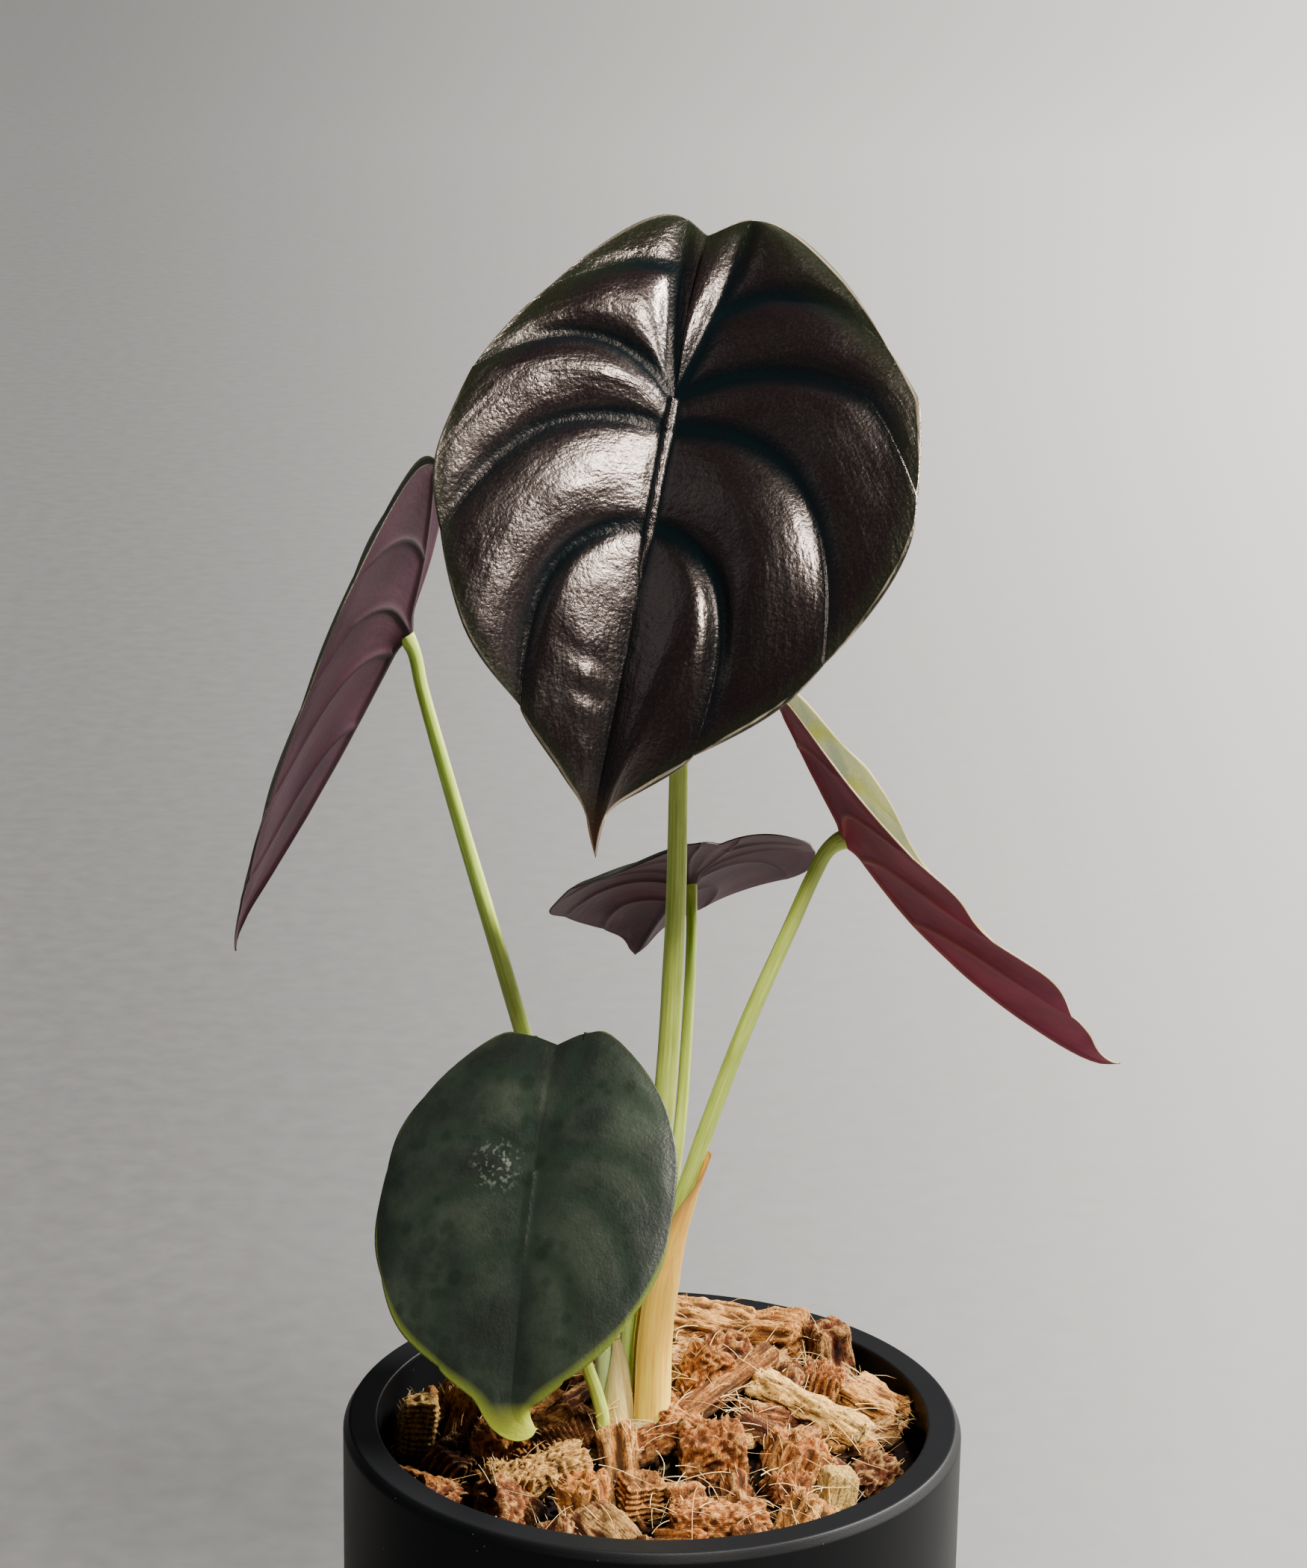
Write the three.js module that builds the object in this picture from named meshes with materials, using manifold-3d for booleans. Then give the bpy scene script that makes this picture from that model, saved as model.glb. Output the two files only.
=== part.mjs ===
// Potted red secret alocasia: five shield-shaped leaves on slim petioles in a matte black pot of coir.
// Millimetres, +Z up. The origin is the centre of the pot's base, and the main leaf faces -Y.
import * as THREE from "three";
import { mergeVertices } from "three/addons/utils/BufferGeometryUtils.js";
import Module from "manifold-3d";

const wasm = await Module();
wasm.setup();

// Pot
const POT_RADIUS = 60;
const POT_HEIGHT = 110;
const POT_WALL = 6.5;
const POT_FLOOR = 8;
const SHOULDER_WIDTH = 1.2;
const SHOULDER_HEIGHT = 1.9;
const BASE_CHAMFER = 1;
const POT_SIDES = 64;

// Coir chips
const CLEARANCE = 0.3;
const FILL_RADIUS = POT_RADIUS - POT_WALL - CLEARANCE;
const FILL_EDGE_HEIGHT = 97.5;
const MOUND_RISE = 12;
const MOUND_SPREAD = 27;
const MOUND_X = 2;
const MOUND_Y = 12;
const CHIP_COUNT = 88;
const CHIP_REACH = 48;
const CHIP_SEED = 41;
const CHIP_LENGTH = [10, 16];
const CHIP_WIDTH_SHARE = [0.5, 0.8];
const CHIP_THICKNESS_SHARE = 0.45;
const CHIP_CORNER_SHARE = [0.72, 1.05];
const CHIP_TILT = 1.5;
const CHIP_STAND = 0.15;
const CHIP_CEILING = 140;
const PLACED_CORNER_SHARE = [0.88, 1.04];
const PLACED_ROOM = 6.5;
const FILL_SIDES = 18;
const FILL_RINGS = [0, 0.35, 0.7, 1];
const GOLDEN_ANGLE = Math.PI * (3 - Math.sqrt(5));

// The chips that stand out: centre x, y and z, then length, width and thickness, then the turns about
// X, Y and Z in degrees. A chip that is turned by -90 about Y stands on its end.
const PLACED_CHIPS = [
  [[-46, 1, 103], [18, 5.5, 6.5], [0, -84, 8]],
  [[-38, 8, 104], [15, 7, 9], [0, -72, 10]],
  [[-29, -6, 103], [13, 8, 12], [0, -84, -8]],
  [[-27.5, -20, 102], [12, 7, 10], [0, -78, 12]],
  [[-18.5, -15.5, 104], [14, 8, 9], [10, -8, 28]],
  [[-12.5, -27.5, 102.5], [13, 9, 9], [0, -98, -10]],
  [[-2, -25.5, 103], [12, 8, 8], [0, -86, 14]],
  [[11.5, -13, 105.5], [15, 10, 13], [0, -93, 6]],
  [[12.5, -33, 102], [18, 8, 9], [0, 3, 5]],
  [[35, -21, 102.5], [12, 5, 7], [0, -80, 24]],
  [[15, 9, 112.5], [28, 5, 4.5], [20, -12, 46]],
  [[31, 6, 108.5], [26, 9, 5], [-22, 15, -29]],
  [[33, 18, 107], [10, 6, 8], [0, -78, -15]],
  [[44, 16, 104], [13, 9, 8], [0, 12, -35]],
  [[42.5, -11, 102], [9, 8, 7], [15, -20, 40]],
  [[36, 32, 108], [14, 7, 7], [0, -100, 25]],
  [[11, 39, 111.5], [21, 9, 7], [10, 4, -14]],
  [[12, 38, 106.5], [18, 15, 9], [0, 0, 10]],
  [[24, 36, 110], [15, 11, 9], [0, -12, -25]],
  [[8.5, 8, 111], [18, 6, 8], [0, -62, 35]],
  [[22.5, -4, 108], [11, 9, 4], [-20, 14, -32]],
  [[27, -13, 104.5], [13, 9, 11], [0, -70, 20]],
  [[29, -30, 101.5], [11, 8, 8], [0, -60, 40]],
  [[-38.5, -23, 100.5], [10, 8, 7], [10, 10, 60]],
  [[-39, -8, 101.5], [11, 8, 8], [0, -60, -30]],
  [[-17, -6, 105.5], [15, 7, 6], [15, -6, 22]],
  [[14, 22, 110], [13, 9, 8], [0, -30, 70]],
];

// Corm
const CORM_X = -4;
const CORM_Y = 2;
const CORM_RADIUS = 13;
const CORM_TOP = 110;
const CORM_HEIGHT = 24;
const CORM_SIDES = 16;
const PETIOLE_FOOT = 104;
// The corm's profile from its foot up, as shares of its radius and height.
const CORM_PROFILE = [[0.6, 0], [1, 0.4], [1, 0.7], [0.75, 0.94]];

// Blades
const BLADE_THICKNESS = 0.7;
const SPINE_STEPS = 60;
const HOOK_START = 0.84;
const ARCH_EASE = 1.5;
const HOOK_EASE = 1.2;
const COLUMNS = [0, 0.1, 0.26, 0.44, 0.62, 0.8, 0.93, 1];
const CENTRE_COLUMNS = 4;
const PETIOLE_VEIN = 2;
const TIP_ROWS = 6;
const TIP_CROWDING = 1.5;

// The quilted panels rise from the veins and die out at the spine, the margin and the tip.
const PANEL_ROUNDNESS = 0.8;
const PANEL_INNER = 0.45;
const PANEL_OUTER = 0.58;
const PANEL_TIP = [-0.97, -0.5];
const LAST_STRONG_VEIN = -0.29;
const CENTRE_ROUNDNESS = 0.7;
const CENTRE_RELIEF = 0.6;

const UP = new THREE.Vector3(0, 0, 1);
const SAME_PLACE = 1e-4;

const POT_COLOUR = 0x1b1b1c;
const CORM_COLOUR = 0x6b4a30;
const COIR_COLOUR = 0xa5683f;
const PETIOLE_COLOUR = 0x9aa862;
const ROUGHNESS = { pot: 0.8, corm: 0.9, coir: 0.95, blade: 0.35, petiole: 0.5, sheath: 0.7 };

// An outline runs from the notch between the lobes to the tip. Across it is a share of the half width,
// and along it a share of the lobe's length (above 0) or of the tip's length (below 0).
const COMMON_OUTLINE = [
  [0, 0.9], [0.18, 1], [0.4, 0.93], [0.69, 0.65], [0.92, 0.29], [1, -0.06],
  [0.95, -0.31], [0.77, -0.56], [0.45, -0.74], [0.19, -0.85], [0.065, -0.93], [0, -1],
];
const MAIN_OUTLINE = [
  [0, 0.92], [0.17, 1.01], [0.36, 0.91], [0.63, 0.6], [0.85, 0.26], [1.03, -0.08],
  [1.05, -0.3], [0.79, -0.56], [0.45, -0.72], [0.19, -0.83], [0.07, -0.91], [0, -1],
];
const FRONT_OUTLINE = [
  [0, 0.9], [0.2, 0.97], [0.39, 0.95], [0.73, 0.64], [0.93, 0.31], [1, -0.07],
  [0.97, -0.32], [0.77, -0.56], [0.46, -0.73], [0.2, -0.84], [0.07, -0.96], [0, -1],
];
const RIGHT_OUTLINE = [
  [0, 0.9], [0.18, 1], [0.4, 0.93], [0.69, 0.65], [0.9, 0.28], [1.07, -0.09],
  [0.85, -0.29], [0.77, -0.55], [0.45, -0.74], [0.21, -0.87], [0.08, -0.95], [0, -1],
];
const BACK_OUTLINE = [
  [0, 0.9], [0.18, 0.99], [0.41, 0.93], [0.7, 0.67], [0.85, 0.28], [1, -0.06],
  [1.02, -0.31], [0.76, -0.56], [0.45, -0.74], [0.17, -0.84], [0.07, -0.93], [0, -1],
];

// A vein leaves the spine at start (1 is the lobe's top, 0 the petiole, -1 the tip), bends at the control
// point and meets the margin at the numbered point of the outline.
const RIGHT_VEINS = [
  { start: 1, margin: 1, bend: [0.17, 1] },
  { start: 0.44, margin: 4, bend: [0.45, 0.72] },
  { start: 0, margin: 5.5, bend: [0.5, 0.33] },
  { start: -0.07, margin: 6.9, bend: [0.75, -0.05] },
  { start: -0.29, margin: 8.3, bend: [0.5, -0.33] },
  { start: -0.57, margin: 9, bend: [0.24, -0.6] },
  { start: -1, margin: 11, bend: [0, -1] },
];
const LEFT_VEINS = [
  { start: 1, margin: 0.7, bend: [0.12, 0.97] },
  { start: 0.7, margin: 3.3, bend: [0.35, 0.75] },
  { start: 0, margin: 4.7, bend: [0.42, 0.5] },
  { start: -0.07, margin: 6.3, bend: [0.7, 0] },
  { start: -0.29, margin: 8, bend: [0.6, -0.3] },
  { start: -0.57, margin: 9, bend: [0.25, -0.61] },
  { start: -1, margin: 11, bend: [0, -1] },
];

// Lengths in mm from the petiole, angles in degrees. A leaf starts upright and facing -Y. It is turned by
// yaw, tipped back by lean and rolled in its own plane. Arch bends the spine, fold raises the two halves,
// cup rounds them, and the tip's last sixth bends by tipArch and hook.
const LEAVES = [
  {
    name: "main", attach: [0.7, -5, 310.2], yaw: -12.6, lean: 34, roll: -1.7,
    tip: 84.3, lobe: 37.4, left: 37, right: 46.3, fold: 12, tipFold: 12, lobeFold: 9, cup: -2,
    arch: 18, lobeArch: 12, tipArch: 0, sweep: -6.1, hook: 19, twist: 0, lobeTwist: 0,
    outline: MAIN_OUTLINE, relief: 2.6, rows: 4, colour: 0x2c2226,
  },
  {
    name: "front", attach: [-22, -35, 173.7], yaw: -30, lean: 36, roll: 12.2,
    tip: 50, lobe: 27.7, left: 32.5, right: 27.5, fold: 8, tipFold: 8, lobeFold: 8, cup: -24,
    arch: 10, lobeArch: 10, tipArch: 15, sweep: -0.5, hook: 112, twist: 0, lobeTwist: 0,
    outline: FRONT_OUTLINE, relief: 0.5, rows: 3, colour: 0x2a3128,
  },
  {
    name: "left", attach: [-49.1, 12, 262.8], yaw: -90.7, lean: 25.7, roll: 4.1,
    tip: 70.5, lobe: 33, left: 27.2, right: 27.2, fold: 28, tipFold: 16, lobeFold: 35, cup: -3,
    arch: -7, lobeArch: -22, tipArch: 40, sweep: 1, hook: 0, twist: -1, lobeTwist: 0,
    outline: COMMON_OUTLINE, relief: 0.5, rows: 3, colour: 0x3b2c33,
  },
  {
    name: "right", attach: [35.2, 4, 226.1], yaw: 95.2, lean: 33.4, roll: 1.7,
    tip: 74.1, lobe: 32, left: 27.7, right: 27.7, fold: 15, tipFold: 26, lobeFold: 12, cup: 5,
    arch: -29, lobeArch: -10, tipArch: -22, sweep: 4, hook: 0, twist: -16, lobeTwist: 2,
    outline: RIGHT_OUTLINE, relief: 0.7, rows: 3, colour: 0x4a1f2a,
  },
  {
    name: "back", attach: [5.5, 38, 207], yaw: 203.8, lean: 57.3, roll: -7.5,
    tip: 51.7, lobe: 28.6, left: 28.2, right: 25.1, fold: 25, tipFold: 27, lobeFold: 7, cup: -44,
    arch: 5.4, lobeArch: 1.5, tipArch: 0, sweep: 0, hook: 0, twist: 1, lobeTwist: 0,
    outline: BACK_OUTLINE, relief: 0.7, rows: 3, colour: 0x3a3036,
  },
];

// Each petiole's centre line from the corm to the blade, as x, y, z and radius.
const PETIOLES = {
  main: [
    [-4.3, 6.1, PETIOLE_FOOT, 2.6], [-4.4, 6.1, 114, 2.5], [-4, 5.9, 126, 2.35], [-1.9, 5, 146, 2.2],
    [1.2, 4.2, 172, 2.1], [2.6, 4.6, 206, 1.95], [2.9, 6.4, 240, 1.75], [3, 8.6, 272, 1.65],
    [2.9, 7.8, 293, 1.6], [2.5, 2.6, 304.5, 1.6], [0.7, -5, 310.2, 1.6],
  ],
  front: [
    [-9.4, -7, PETIOLE_FOOT, 1.4], [-9.6, -7, 112, 1.35], [-10.9, -7.2, 117.5, 1.3], [-12.9, -8, 124, 1.25],
    [-15.4, -10, 137, 1.2], [-16.6, -14.5, 152, 1.2], [-17.6, -23, 164, 1.2], [-19.8, -31, 170.5, 1.15],
    [-22, -35, 173.7, 1.1],
  ],
  left: [
    [-7.9, -0.8, PETIOLE_FOOT, 2.7], [-8, -0.8, 113, 2.6], [-9.1, -0.2, 125, 2.25], [-14.6, 3, 146, 1.95],
    [-20.3, 5.8, 166, 1.8], [-26.3, 8.2, 186, 1.65], [-34.9, 10, 214.6, 1.5], [-42, 11, 239.2, 1.35],
    [-45.6, 12, 252, 1.25], [-47, 12, 258.5, 1.2], [-49.1, 12, 262.8, 1.15],
  ],
  right: [
    [-0.5, 0.4, PETIOLE_FOOT, 2.9], [-0.4, 0.4, 114, 2.9], [-0.1, 0.4, 126, 2.9], [1.2, 0.4, 138, 2.6],
    [3.6, 0.5, 149, 1.8], [7, 0.7, 161, 1.6], [11.2, 1.2, 174, 1.6], [16.8, 2, 190, 1.55],
    [24.6, 3.5, 209, 1.45], [28.5, 4, 218.5, 1.4], [30.9, 4, 223.4, 1.35], [33, 4, 225.3, 1.35],
    [35.2, 4, 226.1, 1.3],
  ],
  back: [
    [-0.2, 11, PETIOLE_FOOT, 1.6], [0.3, 11, 118, 1.55], [1.3, 12, 135, 1.4], [3, 14, 150, 1.25],
    [4.6, 17.5, 165, 1.15], [5.6, 22.5, 182, 1.1], [6.1, 30, 196, 1.05], [6, 35, 203, 1.05],
    [5.5, 38, 207, 1],
  ],
};
const PETIOLE_SIDES = 8;
const RINGS_PER_STATION = 2;

// Sheaths are leaf bases wrapped round a petiole. A wrap pairs a station of the petiole's list with the
// half angle that is covered there, and facing is the covered side's middle, from +Y towards -X.
const SHEATH_WALL = 0.75;
const SHEATH_FINENESS = 4;
const SHEATHS = [
  {
    name: "sheath_tall", petiole: "right", facing: -75, steps: 14, columns: 8, colour: 0xb9824f,
    wrap: [[0.1, 165], [3, 160], [4, 140], [4.4, 115], [4.9, 65], [5.25, 28]],
  },
  {
    name: "sheath_short", petiole: "left", facing: -143, steps: 7, columns: 6, colour: 0x8d8360,
    wrap: [[0.3, 50], [1, 46], [1.6, 30], [2.05, 14]],
  },
];

// Helpers

function radians(degrees) {
  return THREE.MathUtils.degToRad(degrees);
}

// A seeded draw from 0 to 1.
function makeRandom(seed) {
  let state = seed;
  return function () {
    state = (state * 16807) % 2147483647;
    return state / 2147483647;
  };
}

// Value at x of a line through sorted [x, y] pairs, rising in x.
function along(pairs, x) {
  let i = 0;
  while (i < pairs.length - 2 && x > pairs[i + 1][0]) i += 1;
  const [x0, y0] = pairs[i];
  const [x1, y1] = pairs[i + 1];
  return THREE.MathUtils.lerp(y0, y1, THREE.MathUtils.clamp((x - x0) / (x1 - x0), 0, 1));
}

// Smooth curve through 2-D points, where whole numbers of t are the points.
function throughPoints(points, t) {
  const last = points.length - 1;
  const i = Math.min(Math.floor(t), last - 1);
  const f = t - i;
  const p1 = points[i];
  const p2 = points[i + 1];
  const p0 = i > 0 ? points[i - 1] : [2 * p1[0] - p2[0], 2 * p1[1] - p2[1]];
  const p3 = i + 2 <= last ? points[i + 2] : [2 * p2[0] - p1[0], 2 * p2[1] - p1[1]];
  return [0, 1].map((k) => 0.5 * (
    2 * p1[k] + (p2[k] - p0[k]) * f
    + (2 * p0[k] - 5 * p1[k] + 4 * p2[k] - p3[k]) * f * f
    + (3 * p1[k] - p0[k] - 3 * p2[k] + p3[k]) * f * f * f
  ));
}

function toManifold(geometry) {
  const bare = geometry.clone();
  bare.deleteAttribute("normal");
  bare.deleteAttribute("uv");
  const merged = mergeVertices(bare, SAME_PLACE);
  return new wasm.Manifold(new wasm.Mesh({
    numProp: 3,
    vertProperties: new Float32Array(merged.attributes.position.array),
    triVerts: new Uint32Array(merged.index.array),
  }));
}

function fromManifold(solid) {
  const mesh = solid.getMesh();
  const geometry = new THREE.BufferGeometry();
  geometry.setAttribute("position", new THREE.BufferAttribute(new Float32Array(mesh.vertProperties), 3));
  geometry.setIndex(new THREE.BufferAttribute(new Uint32Array(mesh.triVerts), 1));
  geometry.computeVertexNormals();
  return geometry;
}

function indexedGeometry(points, triangles) {
  const places = points.flatMap((point) => point.toArray());
  const geometry = new THREE.BufferGeometry();
  geometry.setAttribute("position", new THREE.Float32BufferAttribute(places, 3));
  geometry.setIndex(triangles.flat());
  geometry.computeVertexNormals();
  return geometry;
}

function sheetNormals(points, triangles) {
  const normals = indexedGeometry(points, triangles).attributes.normal;
  return points.map((_, i) => new THREE.Vector3().fromBufferAttribute(normals, i));
}

// A closed solid from an open sheet, whose points move along the normals by upper and back by lower.
function thickenSheet({ points, triangles, normals }, upper, lower) {
  const count = points.length;
  const shifted = (distance) => (
    points.map((point, i) => point.clone().addScaledVector(normals[i], distance))
  );
  const faces = triangles.concat(triangles.map(([a, b, c]) => [a + count, c + count, b + count]));
  const edges = new Set(triangles.flatMap(([a, b, c]) => [`${a},${b}`, `${b},${c}`, `${c},${a}`]));
  for (const edge of edges) {
    const [a, b] = edge.split(",").map(Number);
    if (edges.has(`${b},${a}`)) continue;
    faces.push([b, a, a + count], [b, a + count, b + count]);
  }
  return indexedGeometry(shifted(upper).concat(shifted(-lower)), faces);
}

// Blade surface

// The spine's frames at even steps from the petiole towards the tip or the lobes.
function makeSpine(leaf, towardsTip) {
  const length = towardsTip ? leaf.tip : leaf.lobe;
  const direction = towardsTip ? -1 : 1;
  const frames = [];
  const point = new THREE.Vector3();
  for (let i = 0; i <= SPINE_STEPS; i += 1) {
    const f = i / SPINE_STEPS;
    const end = Math.max((f - HOOK_START) / (1 - HOOK_START), 0);
    const arch = radians(towardsTip ? leaf.arch * f + leaf.tipArch * end ** ARCH_EASE : leaf.lobeArch * f);
    const swing = radians(towardsTip ? leaf.sweep * f + leaf.hook * end ** HOOK_EASE : 0);
    const twist = radians(towardsTip ? leaf.twist * f : leaf.lobeTwist * f);
    const open = THREE.MathUtils.lerp(leaf.fold, towardsTip ? leaf.tipFold : leaf.lobeFold, f);
    const fold = radians(towardsTip ? open * (1 - end) : open);
    const flat = new THREE.Vector3(Math.sin(swing), direction * Math.cos(swing), 0);
    const tangent = flat.clone().multiplyScalar(Math.cos(arch)).addScaledVector(UP, -Math.sin(arch));
    const raised = UP.clone().multiplyScalar(Math.cos(arch)).addScaledVector(flat, Math.sin(arch));
    const level = new THREE.Vector3(Math.cos(swing), Math.sin(swing), 0);
    const side = level.clone().multiplyScalar(Math.cos(twist)).addScaledVector(raised, Math.sin(twist));
    const normal = raised.clone().multiplyScalar(Math.cos(twist)).addScaledVector(level, -Math.sin(twist));
    if (i > 0) {
      const step = tangent.clone().add(frames[i - 1].tangent).multiplyScalar(length / SPINE_STEPS / 2);
      point.add(step);
    }
    frames.push({ point: point.clone(), tangent, side, normal, fold });
  }
  return frames;
}

// Maps flat leaf coordinates (mm, towards +Y for the lobes) to the leaf's curved upper surface.
function makeBend(leaf) {
  const spines = { tip: makeSpine(leaf, true), lobe: makeSpine(leaf, false) };
  return function (x, y) {
    const frames = y < 0 ? spines.tip : spines.lobe;
    const length = y < 0 ? leaf.tip : leaf.lobe;
    const place = (Math.abs(y) / length) * SPINE_STEPS;
    const i = Math.min(Math.floor(place), SPINE_STEPS - 1);
    const f = place - i;
    const a = frames[i];
    const b = frames[i + 1];
    const beside = Math.sign(x);
    const reach = Math.abs(x);
    const curl = radians(leaf.cup) / (x > 0 ? leaf.right : leaf.left);
    const fold = THREE.MathUtils.lerp(a.fold, b.fold, Math.min(f, 1));
    const across = (Math.sin(fold + curl * reach) - Math.sin(fold)) / curl;
    const rise = -(Math.cos(fold + curl * reach) - Math.cos(fold)) / curl;
    return new THREE.Vector3()
      .lerpVectors(a.point, b.point, f)
      .addScaledVector(a.side.clone().lerp(b.side, Math.min(f, 1)), beside * across)
      .addScaledVector(a.normal.clone().lerp(b.normal, Math.min(f, 1)), rise);
  };
}

function leafMatrix(leaf) {
  const upright = new THREE.Matrix4().makeRotationX(Math.PI / 2);
  return new THREE.Matrix4().makeTranslation(...leaf.attach)
    .multiply(new THREE.Matrix4().makeRotationZ(radians(leaf.yaw)))
    .multiply(new THREE.Matrix4().makeRotationX(-radians(leaf.lean)))
    .multiply(upright)
    .multiply(new THREE.Matrix4().makeRotationZ(radians(leaf.roll)));
}

// One half's point in shares of the blade: s runs down the spine, u from the spine to the margin.
function halfPoint(leaf, veins, s, u) {
  const top = throughPoints(leaf.outline, veins[0].margin);
  const spine = s > 0 ? [top[0] * s * (2 - s), top[1] * s] : [0, s];
  const falling = veins.map((vein) => [-vein.start, vein.margin]);
  const margin = throughPoints(leaf.outline, along(falling, -s));
  const bend = [0, 1].map((k) => along(veins.map((vein) => [-vein.start, vein.bend[k]]), -s));
  return [0, 1].map((k) => (
    (1 - u) ** 2 * spine[k] + 2 * u * (1 - u) * bend[k] + u * u * margin[k]
  ));
}

// Height of the quilted panels between the veins, as a share of the leaf's relief. Below the last strong
// vein one panel runs on to the tip.
function panelHeight(between, s, u) {
  const below = (LAST_STRONG_VEIN - s) / (1 + LAST_STRONG_VEIN);
  const fraction = below > 0 ? Math.sqrt(Math.min(below, 1)) : between;
  const inner = Math.sin((Math.PI / 2) * Math.min(u / PANEL_INNER, 1));
  const outer = 1 - THREE.MathUtils.smoothstep(u, PANEL_OUTER, 1);
  const tip = THREE.MathUtils.smoothstep(s, ...PANEL_TIP);
  return Math.sin(Math.PI * fraction) ** PANEL_ROUNDNESS * inner * outer * tip;
}

// The open sheet midway through the blade, with its panels raised.
function bladeSheet(leaf) {
  const bend = makeBend(leaf);
  const matrix = leafMatrix(leaf);
  const points = [];
  const heights = [];
  const triangles = [];
  const addPoint = ([x, y], height) => {
    const across = x * (x > 0 ? leaf.right : leaf.left);
    const down = y * (y > 0 ? leaf.lobe : leaf.tip);
    points.push(bend(across, down).applyMatrix4(matrix));
    heights.push(height * leaf.relief);
    return points.length - 1;
  };
  const addStrip = (upper, lower, flipped) => {
    for (let j = 0; j + 1 < upper.length; j += 1) {
      const corners = [upper[j], lower[j], lower[j + 1], upper[j + 1]];
      if (flipped) corners.reverse();
      const [a, b, c, d] = corners;
      for (const triangle of [[a, b, c], [a, c, d]]) {
        if (new Set(triangle).size === 3) triangles.push(triangle);
      }
    }
  };
  const lastPanel = RIGHT_VEINS.length - 2;
  const lastRow = lastPanel * leaf.rows + TIP_ROWS;
  const petioleRow = PETIOLE_VEIN * leaf.rows;

  const halfGrid = (veins, side, spine) => {
    const grid = [];
    for (let i = 0; i <= lastRow; i += 1) {
      const panel = Math.min(Math.floor(i / leaf.rows), lastPanel);
      const left = (lastRow - i) / TIP_ROWS;
      const fraction = panel < lastPanel ? i / leaf.rows - panel : 1 - left ** TIP_CROWDING;
      const s = THREE.MathUtils.lerp(veins[panel].start, veins[panel + 1].start, fraction);
      const row = [];
      for (const u of COLUMNS) {
        const [x, y] = halfPoint(leaf, veins, s, u);
        const single = row.length > 0 && (i === 0 || i === lastRow);
        if (single) row.push(row[0]);
        else if (u === 0 && spine && i >= petioleRow) row.push(spine[i][0]);
        else row.push(addPoint([x * side, y], panelHeight(fraction, s, u)));
      }
      grid.push(row);
    }
    for (let i = 0; i < lastRow; i += 1) addStrip(grid[i], grid[i + 1], side < 0);
    return grid;
  };
  const rightGrid = halfGrid(RIGHT_VEINS, 1, null);
  const leftGrid = halfGrid(LEFT_VEINS, -1, rightGrid);

  // Between the two basal veins, up to the notch.
  let upper = null;
  for (let i = 0; i <= petioleRow; i += 1) {
    const start = (veins) => {
      const panel = Math.min(Math.floor(i / leaf.rows), PETIOLE_VEIN - 1);
      return THREE.MathUtils.lerp(veins[panel].start, veins[panel + 1].start, i / leaf.rows - panel);
    };
    const row = [leftGrid[i][0]];
    for (let j = 1; j < CENTRE_COLUMNS; j += 1) {
      const across = (2 * j) / CENTRE_COLUMNS - 1;
      const veins = across < 0 ? LEFT_VEINS : RIGHT_VEINS;
      const s = THREE.MathUtils.lerp(start(LEFT_VEINS), start(RIGHT_VEINS), j / CENTRE_COLUMNS);
      const top = throughPoints(leaf.outline, Math.abs(across) * veins[0].margin);
      const place = [Math.sign(across) * top[0] * s * (2 - s), top[1] * s];
      const rise = Math.sin((Math.PI * j) / CENTRE_COLUMNS) * Math.sin(Math.PI * s) ** CENTRE_ROUNDNESS;
      if (i === petioleRow) row.push(row[0]);
      else row.push(addPoint(place, rise * CENTRE_RELIEF));
    }
    row.push(rightGrid[i][0]);
    if (upper) addStrip(upper, row, false);
    upper = row;
  }

  // Down the last panel the normals turn to the spine's own, so that a narrow tip can't cross itself.
  const normals = sheetNormals(points, triangles);
  for (const grid of [rightGrid, leftGrid]) {
    grid.forEach((row, i) => {
      const share = Math.max(1 - (lastRow - i) / TIP_ROWS, 0);
      for (const k of row) normals[k].lerp(normals[row[0]], share).normalize();
    });
  }
  points.forEach((point, i) => point.addScaledVector(normals[i], heights[i]));
  return { points, triangles, normals };
}

// Petioles and sheaths

// Frames along a petiole, where whole numbers of t are its stations.
function petioleFrames(stations, from, to, count) {
  const curve = new THREE.CatmullRomCurve3(stations.map(([x, y, z]) => new THREE.Vector3(x, y, z)));
  const last = stations.length - 1;
  const side = new THREE.Vector3(0, 1, 0);
  const frames = [];
  for (let i = 0; i <= count; i += 1) {
    const t = THREE.MathUtils.lerp(from, to, i / count);
    const tangent = curve.getTangent(t / last);
    side.addScaledVector(tangent, -side.dot(tangent)).normalize();
    frames.push({
      t,
      centre: curve.getPoint(t / last),
      side: side.clone(),
      other: new THREE.Vector3().crossVectors(tangent, side),
      radius: along(stations.map((station, k) => [k, station[3]]), t),
    });
  }
  return frames;
}

function aroundFrame(frame, angle, radius) {
  return frame.centre.clone()
    .addScaledVector(frame.side, Math.cos(angle) * radius)
    .addScaledVector(frame.other, Math.sin(angle) * radius);
}

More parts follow.
